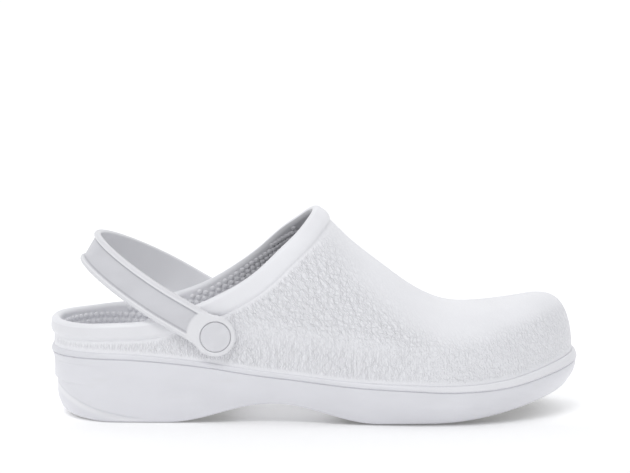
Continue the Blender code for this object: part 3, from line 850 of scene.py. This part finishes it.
def make_upper(shell, rivets, material):
    rows = Rows("skin", "low", "deep")
    height = shell.along[-1]
    body = height - shell.band

    def face(distance, at_foot):
        """Points of the outer face this far above the welt, and the directions in which they face."""
        points = shell.at(distance)
        away = outward(points)
        return points, unit(away * (1, 1, 0)) if at_foot else away

    for share in np.linspace(0, 1, 78) ** 1.15:
        distance = share * body
        points, away = face(distance, share == 0)
        below_rim = 1 - step_up(distance - body, *GRAIN_BELOW_RIM)
        above_welt = step_up(distance, *GRAIN_ABOVE_WELT)
        upright = 1 - step_up(distance, *UPRIGHT_TOP)
        upright = upright * (1 - 0.6 * step_up(points[:, 0], *UPRIGHT_AHEAD))
        calm = CALM * step_up(away[:, 2], *CALM_SLOPE) * step_up(points[:, 0], *CALM_AHEAD)
        for rivet in rivets:
            points = rivet.flattened(points, rivet.boss, DISC_RADIUS - 2 * GAP, BOSS_SOFT)
        if share == 0:
            points[:, 2] -= UPPER_LAP
        rows.add(points, skin=below_rim * above_welt * (1 - calm), low=upright)
    for up in np.linspace(0, 1, 26)[1:] ** 1.4:
        points = shell.at(body + up * shell.band)
        proud = RIM_PROUD * (1 - (1 - min(up / 0.62, 1)) ** 2.3) ** 0.62
        # Painted shade on the rim band, a little at the heel.
        rows.add(points + proud * outward(points), deep=0.16 * (1 - step_up(points[:, 0], *RIM_SHADE)))
    middle, reach = (RIM_PROUD - WALL) / 2, (RIM_PROUD + WALL) / 2
    # The inner half of the lip and the inner face take painted shade towards the throat.
    for turn in np.radians(np.linspace(0, 180, RIM_TURN))[1:-1]:
        rows.add(shell.collar + shell.lip * RIM_ROUND * math.sin(turn)
                 + shell.normal * (middle + reach * math.cos(turn)),
                 deep=inside_shade(shell.collar) * (turn > 1.9))
    for share in np.linspace(1, 0, 54):
        points, away = face(share * height, share == 0)
        points = points - WALL * away
        for rivet in rivets:
            points = rivet.flattened(points, rivet.inside, WASHER_RADIUS + GAP, WASHER_SOFT)
        rows.add(points, deep=inside_shade(points))
    own(rows.skin("upper_shell", material, "joined"), "upper_foam", "upper")


def under_inset(x):
    """How far in from the outline the side of the sole ends at its under edge."""
    return SIDE_UNDER + HEEL_HEIGHT * SIDE.read("draft", x)


def side_top(x):
    return welt_top(x) - bead_height(x)


def around_heel(x):
    return 1 - step_up(x, 0.4 * SEAT_BAND_RUN, SEAT_BAND_RUN)


def side_inset(x, share, z):
    """How far the side lies in from the outline, at this share of its height and at z."""
    draft = HEEL_HEIGHT * SIDE.read("draft", x)
    plain = SIDE_UNDER + draft * share ** SIDE.read("late", x)
    seat = SEAT_BAND_IN * around_heel(x) * np.clip((side_top(x) - LINE_DROP - z) / SEAT_BAND, 0, 1)
    release = 1 - step_up(share, 0.55, 1.0)
    crease = HEEL_CREASE.read("height", x) - z
    bevel = BEVEL_SET * step_up(crease, 0.0, BEVEL_SOFT) * (1 - step_up(x, *BEVEL_FADE))
    return plain + seat * release + bevel * (1 - step_up(share, 0.86, 1.0))


def crease_marks(points):
    """A fine line of painted shadow along the crease and the seat band's edge, and painted highlight beside
    it.
    """
    x, z = points[:, 0], points[:, 2]
    fade = 1 - step_up(x, *CREASE_FADE)
    under = HEEL_CREASE.read("height", x) - z
    band_end = side_top(x) - SEAT_BAND - z
    line = fade * np.clip(1 - np.abs(under) / CREASE_LINE, 0, 1)
    line = line + 0.5 * around_heel(x) * np.clip(1 - np.abs(band_end) / SEAT_LINE, 0, 1)
    painted_highlight = fade * step_up(under, *STRIP_STARTS) * (1 - step_up(under, *STRIP_ENDS))
    return {"line": line, "painted_highlight": painted_highlight}


def ledge_marks(points):
    """A painted highlight on the ledge round the toe."""
    return {"painted_highlight": 0.8 * step_up(points[:, 0], *LEDGE_LIGHT)}


def make_sole(material):
    rows = Rows("line", "painted_highlight")
    row = rows.outline
    row(lambda x: inside_wall(x) + CUP_FILLET, cup_floor)
    for turn in np.radians((22, 45, 68, 90)):
        row(lambda x: inside_wall(x) + CUP_FILLET * (1 - math.sin(turn)),
            lambda x: cup_floor(x) + CUP_FILLET * (1 - math.cos(turn)))
    row(inside_wall, lambda x: welt_top(x) - GAP)
    row(lambda x: welt(x) + LEDGE_IN, lambda x: welt_top(x) - GAP)
    for share in np.linspace(-0.1, 1, 16):
        row(lambda x: (1 - share) * welt(x) + BEAD_BACK[0] * step_up(share, 0.9, 1.0),
            lambda x: welt_top(x) + BEAD_LIFT - BEAD_FALL * bead_height(x) * max(share, 0) ** 2.4,
            ledge_marks)
    for share in (0.84, 0.88, 0.92, 0.96, 0.985):
        row(lambda x: flush(x) + BEAD_BACK[1] * (max(share - 0.86, 0) / 0.125) ** 2,
            lambda x: welt_top(x) - share * bead_height(x))
    for inset, drop in LINE_PROFILE:
        row(lambda x: flush(x) + inset, lambda x: side_top(x) - drop)
    for share in np.linspace(0, 1, 64)[1:]:
        def height(x):
            return (1 - share) * (side_top(x) - LINE_DROP) + share * under_line(x)
        row(lambda x: side_inset(x, share, height(x)), height, crease_marks)
    inward, down = UNDER_ROUND
    for turn in np.radians((30, 60, 90)):
        row(lambda x: under_inset(x) + inward * math.sin(turn),
            lambda x: under_line(x) - down * (1 - math.cos(turn)))
    row(lambda x: under_inset(x) + RIM_UNDER, lambda x: under_line(x) - down)
    row(lambda x: under_inset(x) + RIM_UNDER, tray_line)
    own(rows.skin("sole_unit", material, "ladder"), "sole_foam", "sole")


def make_insole(material):
    rows = Rows()
    row = rows.outline
    top = INSOLE + INSOLE_LIP
    row(lambda x: inside_wall(x) + CUP_FILLET + GAP, lambda x: cup_floor(x) + GAP)
    for turn in np.radians((30, 60, 90)):
        row(lambda x: inside_wall(x) + 2 * GAP + CUP_FILLET * (1 - math.sin(turn)),
            lambda x: cup_floor(x) + GAP + CUP_FILLET * (1 - math.cos(turn)))
    row(lambda x: inside_wall(x) + 2 * GAP, lambda x: cup_floor(x) + top - INSOLE_SOFT)
    row(lambda x: inside_wall(x) + 2 * GAP + INSOLE_SOFT, lambda x: cup_floor(x) + top)
    for share in np.linspace(0.1, 1, 9):
        row(lambda x: inside_wall(x) + 2 * GAP + INSOLE_SOFT + INSOLE_DISH * share,
            lambda x: cup_floor(x) + INSOLE + INSOLE_LIP * (1 - step_up(share, 0, 1)))
    own(rows.skin("footbed", material, "ladder"), "footbed_foam", "insole")


class NodeTree:
    """A geometry node tree with named inputs, whose nodes come from node()."""

    def __init__(self, name, inputs):
        self.tree = bpy.data.node_groups.new(name, "GeometryNodeTree")
        self.tree.interface.new_socket("Geometry", in_out="INPUT", socket_type="NodeSocketGeometry")
        self.tree.interface.new_socket("Geometry", in_out="OUTPUT", socket_type="NodeSocketGeometry")
        for socket, kind in inputs.items():
            self.tree.interface.new_socket(socket, in_out="INPUT", socket_type="NodeSocket" + kind)
        self.inputs = self.tree.nodes.new("NodeGroupInput").outputs
        self.result = self.tree.nodes.new("NodeGroupOutput").inputs[0]

    def node(self, kind, settings=None, inputs=None):
        """Adds a node, sets it up, feeds its sockets, and gives its outputs."""
        node = self.tree.nodes.new(kind if kind[:4] in ("Shad", "Func") else "GeometryNode" + kind)
        for setting, value in (settings or {}).items():
            setattr(node, setting, value)
        for socket, value in (inputs or {}).items():
            if isinstance(value, bpy.types.NodeSocket):
                self.tree.links.new(value, node.inputs[socket])
            else:
                node.inputs[socket].default_value = value
        return node.outputs

    def attribute(self, name, kind):
        return self.node("InputNamedAttribute", {"data_type": kind}, {"Name": name})[0]

    def ends_in(self, geometry, material, smooth):
        geometry = self.node("RealizeInstances", None, {"Geometry": geometry})[0]
        if smooth:
            geometry = self.node("SetShadeSmooth", None, {"Geometry": geometry})[0]
        finished = self.node("SetMaterial", None, {"Geometry": geometry, "Material": material})[0]
        self.tree.links.new(finished, self.result)

    def run_on(self, name, mesh, values):
        """Runs the tree on a mesh and gives the result as a plain piece."""
        source = in_scene(name + "_source", mesh)
        modifier = source.modifiers.new(name, "NODES")
        modifier.node_group = self.tree
        for item in self.tree.interface.items_tree:
            if item.in_out == "INPUT" and item.name in values:
                modifier[item.identifier] = values[item.name]
        evaluated = source.evaluated_get(bpy.context.evaluated_depsgraph_get())
        result = bpy.data.meshes.new_from_object(evaluated)
        bpy.data.objects.remove(source)
        result.name = name
        return in_scene(name, result)


def nub_tree(material):
    """A flat round nub on every point, turned to the point's own direction."""
    tree = NodeTree("nubs", {"Radius": "Float", "Height": "Float"})
    radius, height = tree.inputs["Radius"], tree.inputs["Height"]
    nub = tree.node("MeshIcoSphere", None, {"Radius": 1.0, "Subdivisions": 2})[0]
    size = tree.node("ShaderNodeCombineXYZ", None, {"X": radius, "Y": radius, "Z": height})[0]
    nub = tree.node("Transform", None, {"Geometry": nub, "Scale": size})[0]
    facing = tree.attribute("facing", "FLOAT_VECTOR")
    turned = tree.node("FunctionNodeAlignRotationToVector", {"axis": "Z"}, {"Vector": facing})[0]
    placed = tree.node("InstanceOnPoints", None,
                       {"Points": tree.inputs["Geometry"], "Instance": nub, "Rotation": turned})[0]
    tree.ends_in(placed, material, smooth=True)
    return tree


def make_nubs(name, slot, points, facing, material):
    points = np.array(points)
    # The nubs take the same painted shade as the inside of the shell.
    mesh = new_mesh(name + "_points", points, [], {
        "facing": ("FLOAT_VECTOR", "POINT", facing),
        "deep": ("FLOAT", "POINT", inside_shade(points)),
    })
    own(nub_tree(material).run_on(name, mesh, {"Radius": NUB_RADIUS, "Height": NUB_HEIGHT}), slot)


def wall_nubs(shell, rivets, material):
    """Staggered rows of nubs up the inside of the shell, and down into the cup of the sole."""
    points, facing = [], []
    foot = shell.path[0]
    level = -3
    while level * NUB_PITCH < shell.along[-1].max():
        distance = level * NUB_PITCH + NUB_START
        on_path = shell.at(np.clip(np.full(STATIONS, distance), 0, None))
        away = outward(on_path)
        for j in range(level % 2, STATIONS, 2):
            spot, out = on_path[j].copy(), away[j].copy()
            if distance < FOOT_NUBS_END:
                out = unit(out * (1, 1, 0))
            if distance < 0:
                spot[2] += distance
                if spot[2] < cup_floor(spot[0]) + INSOLE + INSOLE_LIP + NUB_START:
                    continue
            if distance > shell.along[-1, j] - NUB_HEIGHT or foot[j, 0] > WALL_NUBS_END:
                continue
            spot = spot - (WALL - NUB_SINK) * out
            if any(np.hypot(spot[0] - rivet.x, spot[2] - rivet.z) < WASHER_RADIUS + NUB_RADIUS + NUB_CLEAR
                   and spot[1] * rivet.side > 0 for rivet in rivets):
                continue
            points.append(spot)
            facing.append(-out)
        level += 1
    make_nubs("wall_nubs", "upper_foam", points, facing, material)


def footbed_nubs(material):
    """Staggered rows of nubs on the footbed, from the heel to the ball."""
    points = []
    for i in range(int(LENGTH / (BED_PITCH * BED_ROW))):
        x = BED_NUBS[0] + i * BED_PITCH * BED_ROW
        if x > BED_NUBS[1]:
            break
        reach = half_width(x) - inside_wall(x) - BED_MARGIN
        round_in = edge_y(np.array(x), 1, lambda at: inside_wall(at) + BED_MARGIN) - axis(x)
        for j in range(-12, 13):
            y = axis(x) + (j + 0.5 * (i % 2)) * BED_PITCH
            if abs(y - axis(x)) < min(reach, float(round_in)):
                points.append((x, y, float(cup_floor(x)) + INSOLE - NUB_SINK))
    make_nubs("footbed_nubs", "footbed_foam", points, np.tile((0.0, 0.0, 1.0), (len(points), 1)), material)


def lug_tree(material):
    """Draws a lug with a bevelled edge down from every face that is marked as a cell."""
    tree = NodeTree("lugs", {"Foot": "Float", "Bevel": "Float", "Top": "Float"})
    ground = tree.attribute("ground", "FLOAT")
    apart = tree.node("ShaderNodeSeparateXYZ", None, {0: tree.node("InputPosition")[0]})

    def drawn(mesh, face):
        return tree.node("ExtrudeMesh", {"mode": "FACES"},
                         {"Mesh": mesh, "Selection": face, "Offset Scale": 0.0, "Individual": True})

    def scaled(geometry, face, scale):
        return tree.node("ScaleElements", {"domain": "FACE"},
                         {"Geometry": geometry, "Selection": face, "Scale": scale})[0]

    geometry, face = drawn(tree.inputs["Geometry"], tree.attribute("cell", "BOOLEAN"))[:2]
    geometry = scaled(geometry, face, tree.inputs["Foot"])
    for raised in (tree.inputs["Bevel"], 0.0):
        geometry, face = drawn(geometry, face)[:2]
        level = tree.node("ShaderNodeMath", {"operation": "ADD"}, {0: ground, 1: raised})[0]
        spot = tree.node("ShaderNodeCombineXYZ", None, {"X": apart[0], "Y": apart[1], "Z": level})[0]
        geometry = tree.node("SetPosition", None,
                             {"Geometry": geometry, "Selection": face, "Position": spot})[0]
    tree.ends_in(scaled(geometry, face, tree.inputs["Top"]), material, smooth=False)
    return tree


def make_pad(name, node, stretch, material):
    """A tread pad: a closed web under the tray, with a grid of faces that the lugs are drawn from."""
    start, end = (share * LENGTH for share in stretch)

    def border(x):
        return under_inset(x) + RIM_UNDER + PAD_CLEAR

    lines, lanes = max(2, round((end - start) / LUG_PITCH)), PAD_LANES
    x = np.linspace(start, end, lines + 1)
    outer, inner = edge_y(x, -1, border), edge_y(x, 1, border)
    y = outer[:, None] + (inner - outer)[:, None] * np.linspace(0, 1, lanes + 1)
    along = np.repeat(x[:, None], lanes + 1, axis=1)
    points = np.concatenate([np.stack([along, y, tray_line(along) - drop], axis=-1).reshape(-1, 3)
                             for drop in (1.5 * GAP, 1.5 * GAP + WEB)])

    def corner(layer, i, j):
        return (layer * (lines + 1) + i) * (lanes + 1) + j

    faces, cells = [], []
    for i in range(lines):
        for j in range(lanes):
            faces.append((corner(0, i, j), corner(0, i + 1, j), corner(0, i + 1, j + 1), corner(0, i, j + 1)))
            faces.append((corner(1, i, j), corner(1, i, j + 1), corner(1, i + 1, j + 1), corner(1, i + 1, j)))
            cells += [False, True]
    around = [(i, 0) for i in range(lines + 1)] + [(lines, j) for j in range(1, lanes + 1)]
    around += [(i, lanes) for i in range(lines - 1, -1, -1)] + [(0, j) for j in range(lanes - 1, 0, -1)]
    for (i, j), (k, m) in zip(around, around[1:] + around[:1]):
        faces.append((corner(0, i, j), corner(1, i, j), corner(1, k, m), corner(0, k, m)))
        cells.append(False)
    mesh = new_mesh(name + "_web", points, faces, {
        "cell": ("BOOLEAN", "FACE", cells),
        "ground": ("FLOAT", "POINT", tread_line(points[:, 0])),
    })
    face_out(mesh)
    sizes = {"Foot": 1 - LUG_GAP / LUG_PITCH, "Bevel": LUG_BEVEL, "Top": LUG_TOP}
    own(lug_tree(material).run_on(name, mesh, sizes), "tread_rubber", node)


def strap_half_width(back):
    disc = math.sqrt(max(DISC_RADIUS**2 - back**2, 0))
    if back < 0:
        return disc
    return (disc**8 + (STRAP_WIDTH / 2) ** 8) ** (1 / 8)


def strap_edge(back, half, across):
    """How far these places across the strap lie in from its edge."""
    return np.maximum(half - np.abs(across) if back > 0 else DISC_RADIUS - np.hypot(back, across), 0)


def strap_side(to_edge):
    """How far a face stands from the strap's middle, with its edge rounded."""
    soft = STRAP_SOFT - np.clip(to_edge, 0, STRAP_SOFT)
    return STRAP_THICK / 2 - STRAP_SOFT + np.sqrt(np.maximum(STRAP_SOFT**2 - soft**2, 0))


def strap_face(back, half, across):
    """How far the outer face stands from the strap's middle, at these places across it."""
    away = np.hypot(back, across)
    to_edge = strap_edge(back, half, across)
    crowned = STRAP_CROWN * np.sin(math.pi * np.clip(to_edge / STRAP_RIM, 0, 1))
    lip = STRAP_LIP * step_up(to_edge, *LIP_RISE) * (1 - step_up(to_edge, *LIP_FALL))
    arm = step_up(away, *ARM_SHAPE) if back > 0 else 0.0
    channel = CHANNEL * step_up(to_edge, *CHANNEL_WALL) * step_up(away, *CHANNEL_END)
    ring_end = CHANNEL_START if back > 0 else RING_FALL[1]
    ring = DISC_RING * step_up(away, *RING_RISE) * (1 - step_up(away, RING_FALL[0], ring_end))
    return strap_side(to_edge) + (crowned + lip - STRAP_SET) * arm - channel + ring


def strap_marks(back, half, across):
    """Painted light on the rim, painted highlight on its lip, and painted shadow in the crease beside it."""
    to_edge = strap_edge(back, half, across)

    def line(at, reach):
        return np.clip(1 - np.abs(to_edge - at) / reach, 0, 1)

    if back <= 0:
        return {"rim": DISC_RIM + 0 * across, "glint": np.maximum(0.6 * line(*DISC_LINE), DISC_GLINT),
                "crease": 0 * across}
    arm = step_up(np.hypot(back, across), *ARM_TONE)
    return {"rim": DISC_RIM + arm * (1 - DISC_RIM - step_up(to_edge, *CHANNEL_TONE)),
            "glint": DISC_GLINT * (1 - arm) + 0.7 * arm * line(*LIP_LINE),
            "crease": arm * line(*CHANNEL_LINE)}


def strap_sections(rivets):
    """For each section: distance back, place across, share across, and direction out of the loop."""
    outer, inner = rivets
    left = outer.y((outer.strap_in + outer.strap_out) / 2)
    right = inner.y((inner.strap_in + inner.strap_out) / 2)
    middle, reach = (left + right) / 2, (right - left) / 2
    straight = STRAP_REACH - STRAP_BACK
    backs = [*-DISC_RADIUS * np.cos(np.radians(np.linspace(5, 90, 44)))]
    backs += [*np.linspace(0, ARM_START, 64)[1:], *np.linspace(ARM_START, straight, 24)[1:-1]]
    half = [(back, -1.0, (0.0, -1.0)) for back in backs]
    power = 2 / STRAP_SQUARE
    for angle in np.linspace(0, math.pi / 2, 44):
        cos, sin = math.cos(angle), math.sin(angle)
        out = unit(np.array((sin ** (2 - power) / STRAP_BACK, -(abs(cos) ** (2 - power)) / reach)))
        half.append((straight + STRAP_BACK * sin**power, -(abs(cos) ** power), tuple(out)))
    mirrored = [(back, -across, (out[0], -out[1])) for back, across, out in half[-2::-1]]
    return [(back, middle + reach * across, across, out) for back, across, out in half + mirrored]


def make_strap(rivets, material):
    ends = np.array([(rivet.x, 0, rivet.z) for rivet in rivets])
    pivot, lean = (ends[1] + ends[0]) / 2, (ends[1] - ends[0]) / 2
    backward = np.array((-math.cos(STRAP_LIFT), 0, math.sin(STRAP_LIFT)))
    upward = np.array((math.sin(STRAP_LIFT), 0, math.cos(STRAP_LIFT)))
    sideways = np.array((0, 1, 0))
    wide, narrow = np.linspace(-1, 1, 85), np.linspace(1, -1, 33)[1:-1]
    wide = wide + 0.10 * np.sin(math.pi * wide)
    narrow = narrow + 0.14 * np.sin(math.pi * narrow)
    rows = Rows(*INNER_PAINTED_LIGHT)
    for back, y, across, out in strap_sections(rivets):
        centre = pivot + lean * across + backward * back + sideways * y
        outwards = backward * out[0] + sideways * out[1]
        half = strap_half_width(back)
        places = np.concatenate([half * wide, half * narrow])
        faces = np.concatenate([strap_face(back, half, half * wide),
                                -strap_side(strap_edge(back, half, half * narrow))])
        # The inner face takes painted light and a painted highlight all over.
        rows.add(centre + places[:, None] * upward + faces[:, None] * outwards,
                 **{mark: np.concatenate([value, 0 * narrow + INNER_PAINTED_LIGHT[mark]])
                    for mark, value in strap_marks(back, half, half * wide).items()})
    own(rows.skin("swing_strap", material, "flat"), "strap_foam", "heel_strap")


def make_turned(name, node, profile, rivet, material):
    """A piece turned about the rivet's line. The profile holds radius and distance from the middle."""
    angle = np.linspace(0, 2 * math.pi, TURN_STEPS, endpoint=False)
    joined = profile[0] == profile[-1]
    rows = Rows()
    for radius, away in profile[:-1] if joined else profile:
        rows.add(np.column_stack([rivet.x + radius * np.cos(angle), np.full(TURN_STEPS, rivet.y(away)),
                                  rivet.z + rivet.side * radius * np.sin(angle)]))
    piece = rows.skin(name, material, "joined" if joined else "flat")
    piece.data.set_sharp_from_angle(angle=math.radians(50))
    own(piece, "button_plastic", node)


def soft_corner(radius, away, soft, degrees):
    """The rounded corner of a profile that ends at this radius and this distance from the middle."""
    return [(radius - abs(soft) * (1 - math.sin(turn)), away - soft * (1 - math.cos(turn)))
            for turn in np.radians(degrees)]


def make_fastening(rivet, material):
    """The cap with its shank on the outside of the strap, and the ring inside the shell."""
    face = rivet.strap_out + GAP
    top = rivet.strap_out + BUTTON_PROUD
    washer_out = rivet.inside - GAP
    washer_in = washer_out - WASHER_THICK
    cap = [(share * BUTTON_RADIUS, top - drop) for share, drop in CAP_DOME]
    cap += soft_corner(BUTTON_RADIUS, top - CAP_EDGE, CAP_SOFT, (0, 22, 45, 68, 90))
    cap += [(BUTTON_RADIUS, face), (SHANK_RADIUS, face)]
    cap += [(SHANK_RADIUS, washer_in + SHANK_TIP[1]), (SHANK_RADIUS - SHANK_TIP[0], washer_in)]
    make_turned(f"rivet_cap_{rivet.name}", f"button_{rivet.name}", cap, rivet, material)
    bore = SHANK_RADIUS + GAP
    ring = [(bore, washer_out), (WASHER_RADIUS, washer_out), (WASHER_RADIUS, washer_in + RING_SOFT)]
    ring += soft_corner(WASHER_RADIUS, washer_in, -RING_SOFT, (60, 30, 0))
    ring += [(bore + BORE_SOFT, washer_in), (bore, washer_in + BORE_SOFT), (bore, washer_out)]
    make_turned(f"rivet_ring_{rivet.name}", f"washer_{rivet.name}", ring, rivet, material)


def make_stage():
    """A pale sweep: floor, then a round rise into a wall far behind."""
    profile = [(-3.0, 0.0), (FLOOR_END, 0.0)]
    profile += [(FLOOR_END + FLOOR_BEND * math.sin(turn), FLOOR_BEND * (1 - math.cos(turn)))
                for turn in np.radians(range(6, 91, 6))]
    profile += [(FLOOR_END + FLOOR_BEND, 6.0)]
    points = [(x, y, z) for x in (-6.0, 6.0) for y, z in profile]
    count = len(profile)
    faces = [(i, count + i, count + i + 1, i + 1) for i in range(count - 1)]
    mesh = bpy.data.meshes.new("sweep")
    mesh.from_pydata(points, [], faces)
    mesh.shade_smooth()
    paper = Finish("sweep_paper", {"Roughness": 0.9, "Specular IOR Level": 0.1,
                                   "Emission Strength": FLOOR_GLOW, "Emission Color": (1, 1, 1, 1)})
    tone = paper.noise(2.0, 2.0)
    # Painted light: the sweep glows, least in front of the shoe, fully under and behind it to lighten its
    # shadow, and most far off.
    apart = paper.node("SeparateXYZ", "Y", None, {0: paper.where})
    glow = paper.blend(white(NEAR_GLOW, 1.0), white(1.0, 1.0), apart.ramp(*NEAR_END))
    glow = paper.blend(glow, white(FAR_GLOW, 1.0), apart.ramp(*FAR_START))
    paper.set(Emission_Color=glow)
    mesh.materials.append(paper.set(Base_Color=paper.blend(white(0.97, 1.0), white(0.95, 1.0), tone)))
    sweep = in_scene("sweep", mesh)


def area_light(name, place_at, width, depth, power):
    light = bpy.data.lights.new(name, "AREA")
    light.shape = "RECTANGLE"
    light.size, light.size_y = width, depth
    light.energy = power
    lamp = in_scene(name, light)
    lamp.location = place_at
    x, y, z = np.array(LIGHTS_AIM) - place_at
    lamp.rotation_euler = (math.atan2(math.hypot(x, y), -z), 0, math.atan2(-x, y))


def make_studio():
    world = bpy.data.worlds.new("studio")
    world.use_nodes = True
    sky = world.node_tree.nodes["Background"].inputs
    sky["Color"].default_value = (0.97, 0.98, 1.0, 1)
    sky["Strength"].default_value = WORLD_LIGHT
    scene = bpy.context.scene
    scene.world = world
    scene.view_settings.view_transform = "Standard"
    scene.view_settings.look = "None"
    area_light("overhead", (0.0, 0.2, 1.5), 1.4, 1.0, OVERHEAD_WATTS)
    area_light("key", (-0.30, -0.90, 1.30), 0.8, 0.5, KEY_WATTS)


def make_camera():
    """The photographed view, from the outer side. The frame's middle lies lower than the aim."""
    camera = bpy.data.cameras.new("view")
    camera.sensor_width = 36
    camera.lens = camera.sensor_width * EYE_AWAY / (PHOTO_WIDTH * PIXEL)
    camera.clip_start, camera.clip_end = 0.05, 30
    eye = in_scene("view", camera)
    eye.location = (0, -EYE_AWAY * math.cos(EYE_RISE), EYE_AIM + EYE_AWAY * math.sin(EYE_RISE))
    eye.rotation_euler = (math.pi / 2 - EYE_RISE + math.atan(BELOW_AIM * PIXEL / EYE_AWAY), 0, 0)
    bpy.context.scene.camera = eye


def dress():
    shell = Shell()
    rivets = [Rivet("outer", -1), Rivet("inner", 1)]
    foam, lining, plastic, rubber = upper_foam(), footbed_foam(), button_plastic(), tread_rubber()
    make_upper(shell, rivets, foam)
    make_sole(sole_foam())
    make_insole(lining)
    wall_nubs(shell, rivets, foam)
    footbed_nubs(lining)
    make_pad("heel_tread", "outsole_heel", HEEL_PAD, rubber)
    make_pad("forefoot_tread", "outsole_forefoot", FORE_PAD, rubber)
    make_strap(rivets, strap_foam())
    for rivet in rivets:
        make_fastening(rivet, plastic)


dress()
make_stage()
make_studio()
make_camera()
bpy.context.view_layer.update()
